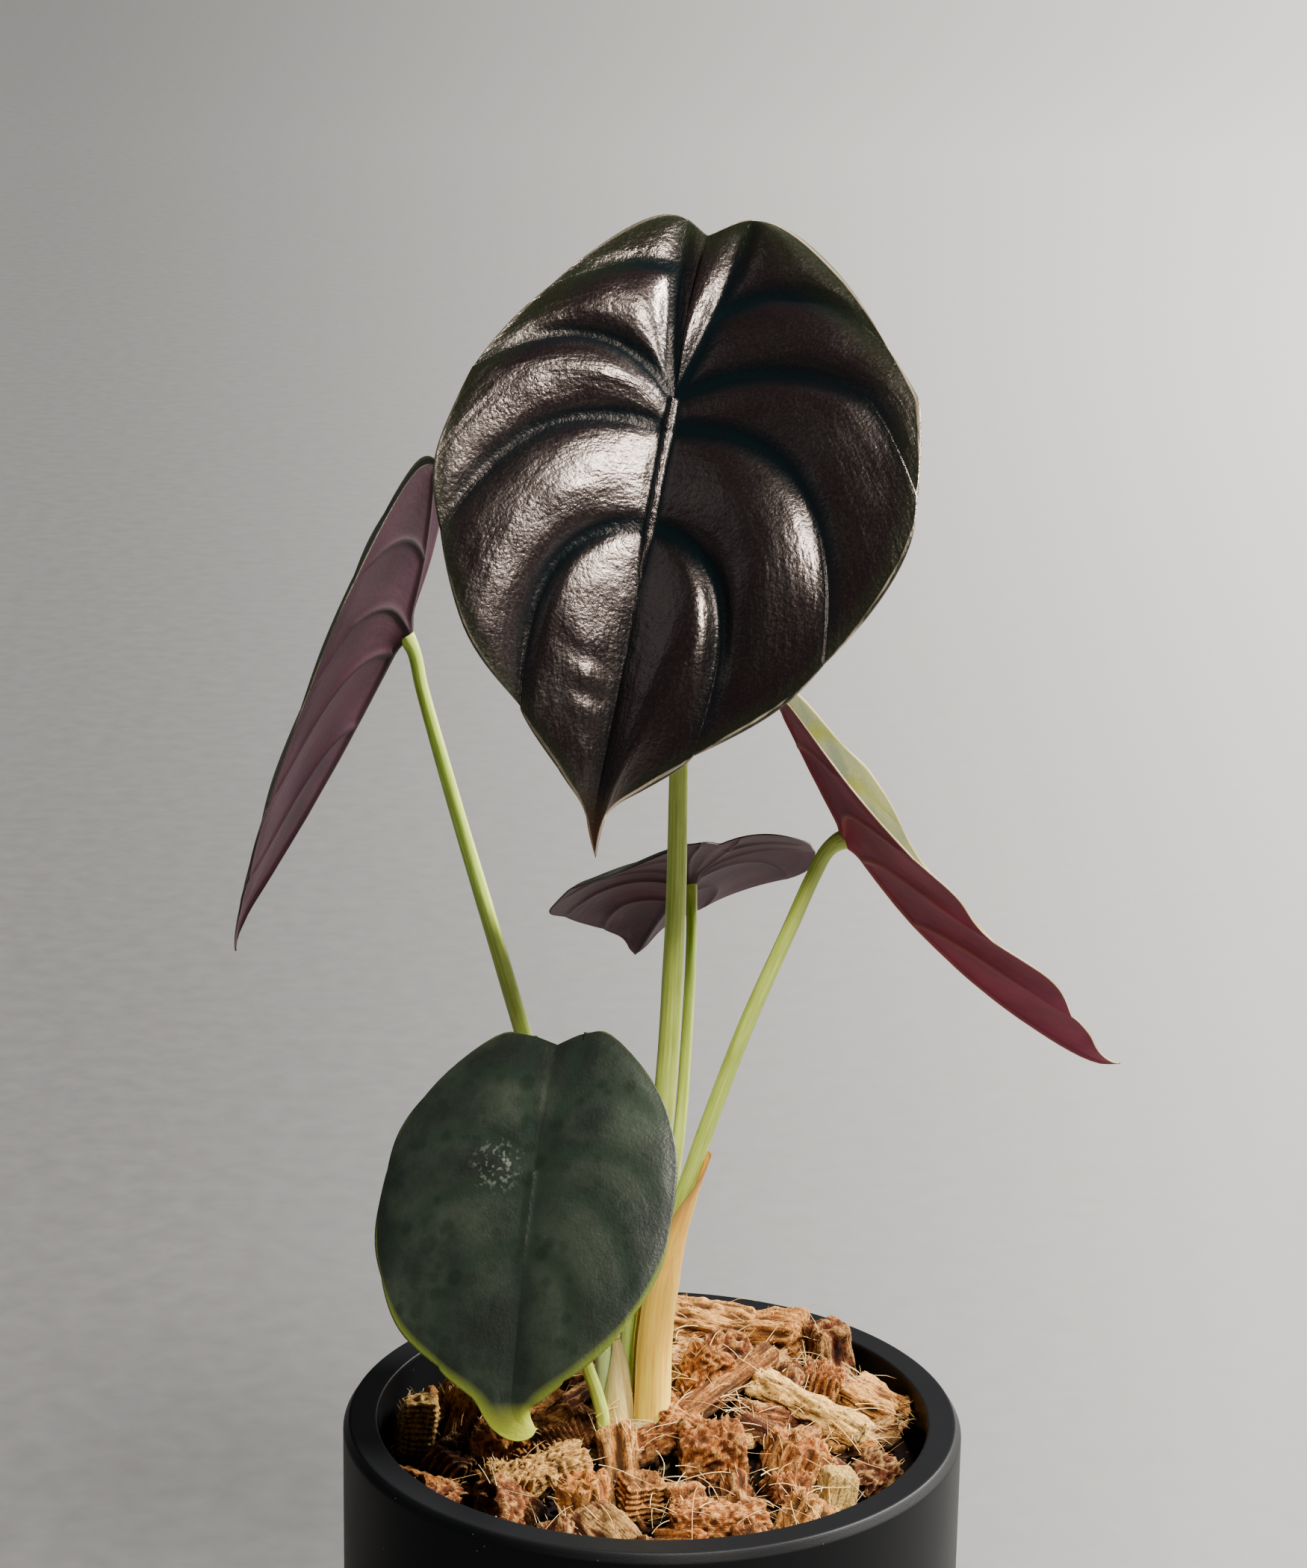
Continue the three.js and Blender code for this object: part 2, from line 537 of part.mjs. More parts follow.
// A closed tube along a petiole, grown by extra all round.
function petioleTube(stations, extra = 0) {
  const last = stations.length - 1;
  const frames = petioleFrames(stations, 0, last, last * RINGS_PER_STATION);
  const points = frames.flatMap((frame) => (
    Array.from({ length: PETIOLE_SIDES }, (_, k) => (
      aroundFrame(frame, (2 * Math.PI * k) / PETIOLE_SIDES, frame.radius + extra)
    ))
  ));
  const triangles = [];
  for (let i = 0; i + 1 < frames.length; i += 1) {
    for (let k = 0; k < PETIOLE_SIDES; k += 1) {
      const next = (k + 1) % PETIOLE_SIDES;
      const [a, b] = [i * PETIOLE_SIDES + k, i * PETIOLE_SIDES + next];
      const [c, d] = [b + PETIOLE_SIDES, a + PETIOLE_SIDES];
      triangles.push([a, b, c], [a, c, d]);
    }
  }
  const end = points.length - PETIOLE_SIDES;
  for (let k = 1; k + 1 < PETIOLE_SIDES; k += 1) {
    triangles.push([0, k + 1, k], [end, end + k, end + k + 1]);
  }
  return indexedGeometry(points, triangles);
}

// The open sheet midway through a sheath's wall.
function sheathSheet(sheath) {
  const from = sheath.wrap[0][0];
  const to = sheath.wrap.at(-1)[0];
  const frames = petioleFrames(PETIOLES[sheath.petiole], 0, to, sheath.steps * SHEATH_FINENESS)
    .filter((frame, i) => frame.t >= from && i % SHEATH_FINENESS === 0);
  const points = [];
  const triangles = [];
  frames.forEach((frame, i) => {
    const half = radians(along(sheath.wrap, frame.t));
    for (let j = 0; j <= sheath.columns; j += 1) {
      const angle = radians(sheath.facing) + THREE.MathUtils.lerp(-half, half, j / sheath.columns);
      points.push(aroundFrame(frame, angle, frame.radius + CLEARANCE + SHEATH_WALL / 2));
    }
    if (i === 0) return;
    const row = sheath.columns + 1;
    for (let j = 0; j < sheath.columns; j += 1) {
      const a = (i - 1) * row + j;
      triangles.push([a, a + 1, a + 1 + row], [a, a + 1 + row, a + row]);
    }
  });
  return { points, triangles, normals: sheetNormals(points, triangles) };
}

// Pot, corm and coir

function makePot() {
  const inner = POT_RADIUS - POT_WALL;
  const profile = [
    [0, 0],
    [POT_RADIUS - BASE_CHAMFER, 0],
    [POT_RADIUS, BASE_CHAMFER],
    [POT_RADIUS, POT_HEIGHT - SHOULDER_HEIGHT],
    [POT_RADIUS - SHOULDER_WIDTH, POT_HEIGHT],
    [inner, POT_HEIGHT],
    [inner, POT_FLOOR],
    [0, POT_FLOOR],
  ];
  return lathe(profile, POT_SIDES);
}

// A solid of revolution about +Z from [radius, height] pairs that start and end on the axis.
function lathe(profile, sides) {
  const geometry = new THREE.LatheGeometry(profile.map(([r, z]) => new THREE.Vector2(r, z)), sides);
  geometry.rotateX(Math.PI / 2);
  return fromManifold(toManifold(geometry));
}

function cormProfile(extra) {
  const foot = CORM_TOP - CORM_HEIGHT;
  const side = CORM_PROFILE.map(([across, up]) => [
    CORM_RADIUS * across + extra,
    foot + CORM_HEIGHT * up + (2 * up - 1) * extra,
  ]);
  return [[0, foot - extra], ...side, [0, CORM_TOP + extra]];
}

function makeCormSolid(extra) {
  const geometry = lathe(cormProfile(extra), CORM_SIDES);
  geometry.translate(CORM_X, CORM_Y, 0);
  return toManifold(geometry);
}

// Height of the heaped coir at a place.
function moundHeight(x, y) {
  const away = (x - MOUND_X) ** 2 + (y - MOUND_Y) ** 2;
  return FILL_EDGE_HEIGHT + MOUND_RISE * Math.exp(-away / (2 * MOUND_SPREAD ** 2));
}

function makeFillSolid() {
  const rings = FILL_RINGS.map((share) => [FILL_RADIUS * share, 0]);
  const profile = rings.concat(rings.toReversed().map(([r]) => [r, POT_HEIGHT]));
  const geometry = new THREE.LatheGeometry(profile.map(([r, z]) => new THREE.Vector2(r, z)), FILL_SIDES);
  geometry.rotateX(Math.PI / 2);
  const position = geometry.attributes.position;
  for (let i = 0; i < position.count; i += 1) {
    const top = position.getZ(i) > POT_FLOOR;
    position.setZ(i, top ? moundHeight(position.getX(i), position.getY(i)) : POT_FLOOR);
  }
  return toManifold(geometry);
}

// An uneven block of husk with its corners drawn in or out, turned about X, Y and Z and put in its place.
function makeChip(random, place, size, turns, cornerShare) {
  const geometry = new THREE.BoxGeometry(...size);
  const chip = mergeVertices(geometry.deleteAttribute("normal").deleteAttribute("uv"));
  const corners = chip.attributes.position;
  for (let i = 0; i < corners.count; i += 1) {
    corners.setX(i, corners.getX(i) * THREE.MathUtils.lerp(...cornerShare, random()));
    corners.setY(i, corners.getY(i) * THREE.MathUtils.lerp(...cornerShare, random()));
    corners.setZ(i, corners.getZ(i) * THREE.MathUtils.lerp(...cornerShare, random()));
  }
  chip.rotateX(turns[0]);
  chip.rotateY(turns[1]);
  chip.rotateZ(turns[2]);
  chip.translate(...place);
  return toManifold(chip);
}

// The placed chips, and the rest of the heap spread on a spiral wherever no placed chip stands.
function makeChips() {
  const random = makeRandom(CHIP_SEED);
  const chips = PLACED_CHIPS.map(([place, size, turns]) => (
    makeChip(random, place, size, turns.map(radians), PLACED_CORNER_SHARE)
  ));
  for (let index = 0; index < CHIP_COUNT; index += 1) {
    const bearing = index * GOLDEN_ANGLE;
    const away = CHIP_REACH * Math.sqrt((index + 0.5) / CHIP_COUNT);
    const [x, y] = [away * Math.cos(bearing), away * Math.sin(bearing)];
    const length = THREE.MathUtils.lerp(...CHIP_LENGTH, random());
    const width = length * THREE.MathUtils.lerp(...CHIP_WIDTH_SHARE, random());
    const thickness = length * CHIP_THICKNESS_SHARE;
    const turns = [(random() - 0.5) * CHIP_TILT, (random() - 0.5) * CHIP_TILT, random() * Math.PI];
    const place = [x, y, moundHeight(x, y) + thickness * CHIP_STAND];
    if (PLACED_CHIPS.some(([[px, py]]) => Math.hypot(px - x, py - y) < PLACED_ROOM)) continue;
    chips.push(makeChip(random, place, [length, width, thickness], turns, CHIP_CORNER_SHARE));
  }
  return chips;
}

function makeCoir(holes) {
  const room = [[0, POT_FLOOR], [FILL_RADIUS, POT_FLOOR], [FILL_RADIUS, CHIP_CEILING], [0, CHIP_CEILING]];
  const inside = toManifold(lathe(room, POT_SIDES));
  const heap = wasm.Manifold.union([makeFillSolid(), ...makeChips()]).intersect(inside);
  return largestPiece(heap.subtract(wasm.Manifold.union(holes)));
}

function largestPiece(solid) {
  return solid.decompose().reduce((best, piece) => (piece.volume() > best.volume() ? piece : best));
}

// Assembly

const plant = new THREE.Group();

function addPart(name, geometry, color, roughness) {
  const material = new THREE.MeshStandardMaterial({ color, roughness, metalness: 0 });
  const mesh = new THREE.Mesh(geometry, material);
  mesh.name = name;
  plant.add(mesh);
}

addPart("pot", makePot(), POT_COLOUR, ROUGHNESS.pot);

const petioleHoles = Object.values(PETIOLES).map((stations) => (
  toManifold(petioleTube(stations, CLEARANCE))
));
const sheathHoles = SHEATHS.map((sheath) => {
  const reach = SHEATH_WALL / 2 + CLEARANCE;
  return toManifold(thickenSheet(sheathSheet(sheath), reach, reach));
});
const stemHoles = petioleHoles.concat(sheathHoles);

const corm = makeCormSolid(0).subtract(wasm.Manifold.union(stemHoles));
addPart("corm", fromManifold(largestPiece(corm)), CORM_COLOUR, ROUGHNESS.corm);
const coir = makeCoir([makeCormSolid(CLEARANCE), ...stemHoles]);
addPart("coir_chips", fromManifold(coir), COIR_COLOUR, ROUGHNESS.coir);

for (const leaf of LEAVES) {
  const sheet = bladeSheet(leaf);
  const reach = BLADE_THICKNESS / 2 + CLEARANCE;
  const cutter = toManifold(thickenSheet(sheet, 2 * reach, reach));
  const petiole = largestPiece(toManifold(petioleTube(PETIOLES[leaf.name])).subtract(cutter));
  const blade = thickenSheet(sheet, BLADE_THICKNESS / 2, BLADE_THICKNESS / 2);
  addPart(`blade_${leaf.name}`, blade, leaf.colour, ROUGHNESS.blade);
  addPart(`petiole_${leaf.name}`, fromManifold(petiole), PETIOLE_COLOUR, ROUGHNESS.petiole);
}

for (const sheath of SHEATHS) {
  const shell = thickenSheet(sheathSheet(sheath), SHEATH_WALL / 2, SHEATH_WALL / 2);
  addPart(sheath.name, shell, sheath.colour, ROUGHNESS.sheath);
}

export default plant;
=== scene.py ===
import math

import bmesh
import bpy
import numpy as np
from mathutils import Matrix


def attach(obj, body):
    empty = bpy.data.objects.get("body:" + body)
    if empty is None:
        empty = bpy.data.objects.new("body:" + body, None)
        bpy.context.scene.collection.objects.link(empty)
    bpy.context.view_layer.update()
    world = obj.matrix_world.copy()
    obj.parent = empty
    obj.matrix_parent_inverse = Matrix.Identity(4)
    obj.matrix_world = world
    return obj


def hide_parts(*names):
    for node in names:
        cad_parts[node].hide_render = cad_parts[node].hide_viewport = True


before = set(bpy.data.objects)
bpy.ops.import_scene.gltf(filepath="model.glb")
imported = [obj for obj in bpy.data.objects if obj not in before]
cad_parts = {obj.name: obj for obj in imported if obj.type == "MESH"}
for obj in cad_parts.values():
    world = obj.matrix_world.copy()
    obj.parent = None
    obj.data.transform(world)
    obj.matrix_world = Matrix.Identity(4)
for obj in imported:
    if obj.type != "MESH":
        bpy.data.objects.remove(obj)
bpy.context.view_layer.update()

# Potted red secret alocasia: the finished look of every piece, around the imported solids.
# Sizes are in mm, as in the solids, and MM turns them into Blender's metres.
MM = 0.001

# Camera, measured from the pot's rim in the photograph
IMAGE_LONG_SIDE = 2100
FOCAL_PIXELS = 5200
SENSOR = 36.0
CAMERA_PLACE = (-1.8, -692.5, 435.7)
CAMERA_PITCH = 16.0
CAMERA_ROLL = 0.94
CAMERA_CLIP = (0.05, 50)

# The studio: a strong key from the right and above, and three square lights, each with its place, power,
# width and colour: a faint window on the left, a softbox over the camera and a rim light from behind.
WORLD_STRENGTH = 0.05
WORLD_COLOUR = (224, 228, 234)
LIT_PLACE = (0, 0, 250)
KEY_PLACE = (1290, 85, 1355)
KEY_STRENGTH = 12
KEY_ANGLE = 5
KEY_COLOUR = (255, 250, 243)
SOFT_LIGHTS = {
    "window": ((-1400, 0, 1100), 1, 800, (240, 244, 250)),
    "softbox": ((330, -820, 1440), 50, 300, (255, 248, 240)),
    "rim": ((2200, 1300, 1300), 160, 700, (255, 250, 242)),
}

# The floor's painted light: its tone runs from dark on the left to light on the right, a painted falloff of
# light across a fan of half width FLOOR_EDGE whose tip lies FLOOR_FAN before the pot, and from the darker
# near pair of tones to the lighter far pair over FLOOR_DEPTH.
FLOOR_HALF = 20000
FLOOR_FAN = 700
FLOOR_EDGE = 0.17
FLOOR_EASE = 1.6
FLOOR_DEPTH = (100, 3000)
NEAR_PAINTED_LIGHT_TONES = ((64, 64, 65), (124, 124, 124))
FAR_PAINTED_LIGHT_TONES = ((84, 84, 85), (206, 206, 205))
FLOOR_GRAIN = 0.025

# Pot
POT_RADIUS = 60
POT_HEIGHT = 110
POT_WALL = 6.5
POT_FLOOR = 8
SHOULDER_WIDTH = 1.2
SHOULDER_HEIGHT = 1.9
BASE_CHAMFER = 1
POT_SIDES = 160
POT_EDGE_ROUND = 0.35

# Coir
FILL_RADIUS = 53.2
FILL_EDGE_HEIGHT = 97.5
MOUND_RISE = 12
MOUND_SPREAD = 27
MOUND_X = 2
MOUND_Y = 12
CHIP_COUNT = 88
CHIP_REACH = 48
CHIP_SEED = 41
CHIP_LENGTH = (10, 16)
CHIP_WIDTH_SHARE = (0.5, 0.8)
CHIP_THICKNESS_SHARE = 0.45
CHIP_CORNER_SHARE = (0.72, 1.05)
CHIP_TILT = 1.5
CHIP_STAND = 0.15
PLACED_CORNER_SHARE = (0.88, 1.04)
PLACED_ROOM = 6.5

# The chips that stand out, as in the solids: centre x, y and z, then length, width and thickness, then
# the turns about X, Y and Z in degrees.
PLACED_CHIPS = (
    ((-46, 1, 103), (18, 5.5, 6.5), (0, -84, 8)),
    ((-38, 8, 104), (15, 7, 9), (0, -72, 10)),
    ((-29, -6, 103), (13, 8, 12), (0, -84, -8)),
    ((-27.5, -20, 102), (12, 7, 10), (0, -78, 12)),
    ((-18.5, -15.5, 104), (14, 8, 9), (10, -8, 28)),
    ((-12.5, -27.5, 102.5), (13, 9, 9), (0, -98, -10)),
    ((-2, -25.5, 103), (12, 8, 8), (0, -86, 14)),
    ((11.5, -13, 105.5), (15, 10, 13), (0, -93, 6)),
    ((12.5, -33, 102), (18, 8, 9), (0, 3, 5)),
    ((35, -21, 102.5), (12, 5, 7), (0, -80, 24)),
    ((15, 9, 112.5), (28, 5, 4.5), (20, -12, 46)),
    ((31, 6, 108.5), (26, 9, 5), (-22, 15, -29)),
    ((33, 18, 107), (10, 6, 8), (0, -78, -15)),
    ((44, 16, 104), (13, 9, 8), (0, 12, -35)),
    ((42.5, -11, 102), (9, 8, 7), (15, -20, 40)),
    ((36, 32, 108), (14, 7, 7), (0, -100, 25)),
    ((11, 39, 111.5), (21, 9, 7), (10, 4, -14)),
    ((12, 38, 106.5), (18, 15, 9), (0, 0, 10)),
    ((24, 36, 110), (15, 11, 9), (0, -12, -25)),
    ((8.5, 8, 111), (18, 6, 8), (0, -62, 35)),
    ((22.5, -4, 108), (11, 9, 4), (-20, 14, -32)),
    ((27, -13, 104.5), (13, 9, 11), (0, -70, 20)),
    ((29, -30, 101.5), (11, 8, 8), (0, -60, 40)),
    ((-38.5, -23, 100.5), (10, 8, 7), (10, 10, 60)),
    ((-39, -8, 101.5), (11, 8, 8), (0, -60, -30)),
    ((-17, -6, 105.5), (15, 7, 6), (15, -6, 22)),
    ((14, 22, 110), (13, 9, 8), (0, -30, 70)),
)
GOLDEN_ANGLE = math.pi * (3 - math.sqrt(5))

# A chip's finish: how it is raised, how light it is, from 0 to 1, and how orange it is, from 0 to 1
PLACED_LOOKS = (
    ("ribbed", 0.95, 0.3), ("fibrous", 0.75, 0.5), ("granular", 0.75, 0.9), ("grooved", 0.85, 0.25),
    ("granular", 0.85, 0.25), ("fibrous", 0.7, 0.85), ("ribbed", 0.66, 0.4), ("granular", 0.5, 0.8),
    ("granular", 0.55, 0.7), ("cut", 1.0, 0.2), ("wood", 0.5, 0.1), ("fibrous", 0.95, 0.4),
    ("grooved", 0.45, 0.7), ("fibrous", 0.7, 0.35), ("granular", 0.15, 0.9), ("fibrous", 0.2, 0.9),
    ("fibrous", 0.72, 0.35), ("fibrous", 0.4, 0.6), ("fibrous", 0.66, 0.6), ("granular", 0.6, 0.8),
    ("wood", 0.12, 0.6), ("fibrous", 0.6, 0.65), ("fibrous", 0.7, 0.4), ("granular", 0.35, 0.8),
    ("grooved", 0.1, 0.2), ("ribbed", 0.4, 0.6), ("granular", 0.35, 0.8),
)
OTHER_KINDS = ("granular", "fibrous", "granular", "grooved", "fibrous", "granular")

# A chip's mesh and surface. The placed chips make two pieces, so that neither has too many faces. Lumps,
# torn ends and the bend of a kind's pattern are noise, each with its height and the size of its features.
# Smooth kinds have the first of two heights.
CHIP_CELL = 0.37
OTHER_CHIP_CELL = 1.6 * CHIP_CELL
CHIP_SQUARENESS = 9
FIRST_CHIPS = 14
SMOOTH_KINDS = ("cut", "wood")
LUMPS = ((0.3, 0.9), 4.2)
TORN_ENDS = ((0.5, 2.4), 1.1)
PATTERN_BEND = (0.5, 3.5)
RIB_PITCH = 1.15
GROOVE_PITCH = 1.5
FIBRE_STRETCH = 6
# The reliefs over which a chip runs from painted shade in its hollows to painted light on its crests
PAINTED_LIGHT_RELIEF = (-0.5, 0.45)

# The bed's mesh, its depth under the heap's surface, and its roughness of two sizes, each with its height
BED_RINGS = 70
BED_SIDES = 150
BED_DEPTH = 3
BED_ROUGHNESS = ((6, 2.2), (1.7, 0.9))
AXIS_RADIUS = 0.01

# Fibres: how many stand out from a chip of each kind, and the further ones of the numbered chips. A fibre
# has a range of lengths and of radii, and a droop.
FIBRE_SEED = 97
FIBRES_PER_CHIP = dict(ribbed=10, grooved=14, granular=16, fibrous=44, cut=3, wood=8)
TUFTS = {11: 60, 12: 30, 13: 90, 16: 30, 20: 40, 21: 50, 22: 30}
CHIP_FIBRE = dict(length=(1.2, 7), radius=(0.05, 0.1), droop=0.15)
FUZZ_PER_CHIP = 70
FUZZ = dict(length=(0.6, 2), radius=(0.04, 0.08), droop=0.1)
LOOSE_FIBRES = 230
LOOSE_REACH = 42
LOOSE_FIBRE = dict(length=(4, 16), radius=(0.07, 0.13), droop=0.35)
STRAND_STEPS = 6
STRAND_BEND = 0.2
STRAND_WAVE = 0.06
STRAND_TAPER = 0.65
CRUMB_SEED = 53
CRUMB_COUNT = 300
CRUMB_REACH = 50.5
CRUMB_SIZE = (1.2, 5)
# Painted shade in the heap's gaps starts SUNK_FROM mm above the heap's surface and is full at SUNK_TO
SUNK_FROM = 4.6
SUNK_TO = -1.5
STEM_ROOM = 0.25
WALL_ROOM = 0.2

# Corm
CORM_X = -4
CORM_Y = 2
CORM_RADIUS = 13
CORM_TOP = 110
CORM_HEIGHT = 24
PETIOLE_FOOT = 104
CORM_PROFILE = ((0.6, 0), (1, 0.4), (1, 0.7), (0.75, 0.94))
CORM_STEPS = 60
CORM_SIDES = 90
SCAR_HEIGHT = 0.35
SCAR_WAVES = 2.6

# Blades
SPINE_STEPS = 60
VEIN_STEPS = 260
MARGIN_STEPS = 500
NEAREST_BLOCK = 4000
HOOK_START = 0.84
ARCH_EASE = 1.5
HOOK_EASE = 1.2
PETIOLE_VEIN = 2
UP = np.array([0.0, 0.0, 1.0])

# The quilted panels rise from the veins and die out at the spine, the margin and the tip. Each row of a
# half is a panel, from the lobe to the tip: where its rise from the spine ends, where its way to the
# margin starts, its height, and how much of the height is kept at the margin.
PANEL_ROUNDNESS = 0.8
RIGHT_PANELS = (
    (0.46, 0.58, 0.7, 0), (0.46, 0.58, 0.6, 0), (0.46, 0.6, 0.35, 0),
    (0.46, 0.58, 0.9, 0), (0.46, 0.58, 0.9, 0),
)
LEFT_PANELS = (
    (0.35, 0.5, 0.15, 0), (0.3, 0.45, 0.8, 0), (0.34, 0.5, 0.8, 0.6),
    (0.45, 0.5, 0.7, 1.4), (0.5, 0.6, 0.6, 0.8),
)
PANEL_TIP = (-1.02, -0.72)
LAST_VEIN = -0.29
LAST_PANEL = 4
CENTRE_ROUNDNESS = 0.7
CENTRE_SHARE = 0.65
SCALLOP = 0.016

# Widths of the veins' lines, halos and valleys
VEIN_WIDTH = 0.75
VEIN_HALO = 2.6
VALLEY = 1.9
SPINE_VALLEY = (1.1, 0.4)
RIB_WIDTH = 0.75
RIB_FADE = (-0.5, -0.2)
RIB_SHINE = 0.8

# The blade's half thickness within and at the margin, and the underside's ridges and boss
BLADE_HALF = 0.34
MARGIN_HALF = 0.16
MARGIN_TAPER = 2.5
UNDER_RIDGE = 0.55
BOSS_HEIGHT = 1.1
BOSS_REACH = 2.6

# Small relief: a ripple of two sizes, each with its height, and wrinkles across the left half near the tip,
# which start and end between these shares of the way there.
RIPPLES = ((7, 0.16), (1.8, 0.035))
WRINKLE_PITCH = 8
WRINKLE_HEIGHT = 0.06
WRINKLE_REACH = ((0.5, 0.6), (0.78, 0.9))

# The water spots on the front leaf
FRONT_DEW = (-30, -34, 175)

# An outline runs from the notch between the lobes to the tip, in shares of the half width and length.
COMMON_OUTLINE = (
    (0, 0.9), (0.18, 1), (0.4, 0.93), (0.69, 0.65), (0.92, 0.29), (1, -0.06),
    (0.95, -0.31), (0.77, -0.56), (0.45, -0.74), (0.19, -0.85), (0.065, -0.93), (0, -1),
)
MAIN_OUTLINE = (
    (0, 0.92), (0.17, 1.01), (0.36, 0.91), (0.63, 0.6), (0.85, 0.26), (1.03, -0.08),
    (1.05, -0.3), (0.79, -0.56), (0.45, -0.72), (0.19, -0.83), (0.055, -0.9), (0, -1),
)
FRONT_OUTLINE = (
    (0, 0.9), (0.2, 0.97), (0.39, 0.95), (0.73, 0.64), (0.93, 0.31), (1, -0.07),
    (0.97, -0.32), (0.77, -0.56), (0.46, -0.73), (0.2, -0.84), (0.07, -0.96), (0, -1),
)
RIGHT_OUTLINE = (
    (0, 0.9), (0.18, 1), (0.4, 0.93), (0.69, 0.65), (0.9, 0.28), (1.07, -0.09),
    (0.85, -0.29), (0.77, -0.55), (0.45, -0.74), (0.21, -0.87), (0.08, -0.95), (0, -1),
)
BACK_OUTLINE = (
    (0, 0.9), (0.18, 0.99), (0.41, 0.93), (0.7, 0.67), (0.85, 0.28), (1, -0.06),
    (1.02, -0.31), (0.76, -0.56), (0.45, -0.74), (0.17, -0.84), (0.07, -0.93), (0, -1),
)

# A vein's start on the spine, the numbered outline point that it meets, and its bend's x and y.
RIGHT_VEINS = (
    (1, 1, 0.17, 1), (0.44, 4, 0.45, 0.72), (0, 5.5, 0.5, 0.33), (-0.07, 6.9, 0.75, -0.05),
    (-0.29, 8.3, 0.5, -0.33), (-0.57, 9, 0.24, -0.6), (-1, 11, 0, -1),
)
LEFT_VEINS = (
    (1, 0.7, 0.12, 0.97), (0.7, 3.3, 0.35, 0.75), (0, 4.7, 0.42, 0.5), (-0.07, 6.3, 0.7, 0),
    (-0.29, 8, 0.6, -0.3), (-0.57, 9, 0.25, -0.61), (-1, 11, 0, -1),
)

# Lengths in mm from the petiole and angles in degrees, as in the solids. Rows and columns set the mesh's
# fineness, relief is the height of the quilted panels and rib that of the midrib, and the lights say how
# strong the painted highlight on the margin's edge is, where light catches it, and which share of that the
# left half has.
LEAF = dict(
    tip_arch=0, sweep=0, hook=0, twist=0, lobe_twist=0,
    outline=COMMON_OUTLINE, rows=16, columns=40, left_light=1,
)
LEAVES = {
    "main": dict(
        LEAF, attach=(0.7, -5, 310.2), yaw=-12.6, lean=34, roll=-1.7,
        tip=84.3, lobe=37.4, left=37, right=46.3, fold=12, tip_fold=12, lobe_fold=9, cup=-2,
        arch=18, lobe_arch=12, sweep=-6.1, hook=19, outline=MAIN_OUTLINE,
        relief=2.9, rows=22, columns=54, seed=1, rib=0.75, edge_light=0.7, left_light=0.2,
    ),
    "front": dict(
        LEAF, attach=(-22, -35, 173.7), yaw=-30, lean=36, roll=12.2,
        tip=50, lobe=27.7, left=32.5, right=27.5, fold=8, tip_fold=8, lobe_fold=8, cup=-24,
        arch=10, lobe_arch=10, tip_arch=15, sweep=-0.5, hook=112, outline=FRONT_OUTLINE,
        relief=0.25, seed=2, rib=0.3, edge_light=0,
    ),
    "left": dict(
        LEAF, attach=(-49.1, 12, 262.8), yaw=-90.7, lean=25.7, roll=4.1,
        tip=70.5, lobe=33, left=27.2, right=27.2, fold=28, tip_fold=16, lobe_fold=35, cup=-3,
        arch=-7, lobe_arch=-22, tip_arch=40, sweep=1, twist=-1,
        relief=0.4, seed=3, rib=0.2, edge_light=0.15,
    ),
    "right": dict(
        LEAF, attach=(35.2, 4, 226.1), yaw=95.2, lean=33.4, roll=1.7,
        tip=74.1, lobe=32, left=27.7, right=27.7, fold=15, tip_fold=26, lobe_fold=12, cup=5,
        arch=-29, lobe_arch=-10, tip_arch=-22, sweep=4, twist=-16, lobe_twist=2,
        outline=RIGHT_OUTLINE, relief=0.7, seed=4, rib=0.25, edge_light=0.5,
    ),
    "back": dict(
        LEAF, attach=(5.5, 38, 207), yaw=203.8, lean=57.3, roll=-7.5,
        tip=51.7, lobe=28.6, left=28.2, right=25.1, fold=25, tip_fold=27, lobe_fold=7, cup=-44,
        arch=5.4, lobe_arch=1.5, twist=1,
        outline=BACK_OUTLINE, relief=0.7, rows=14, columns=34, seed=5, rib=0.2, edge_light=0.1,
    ),
}

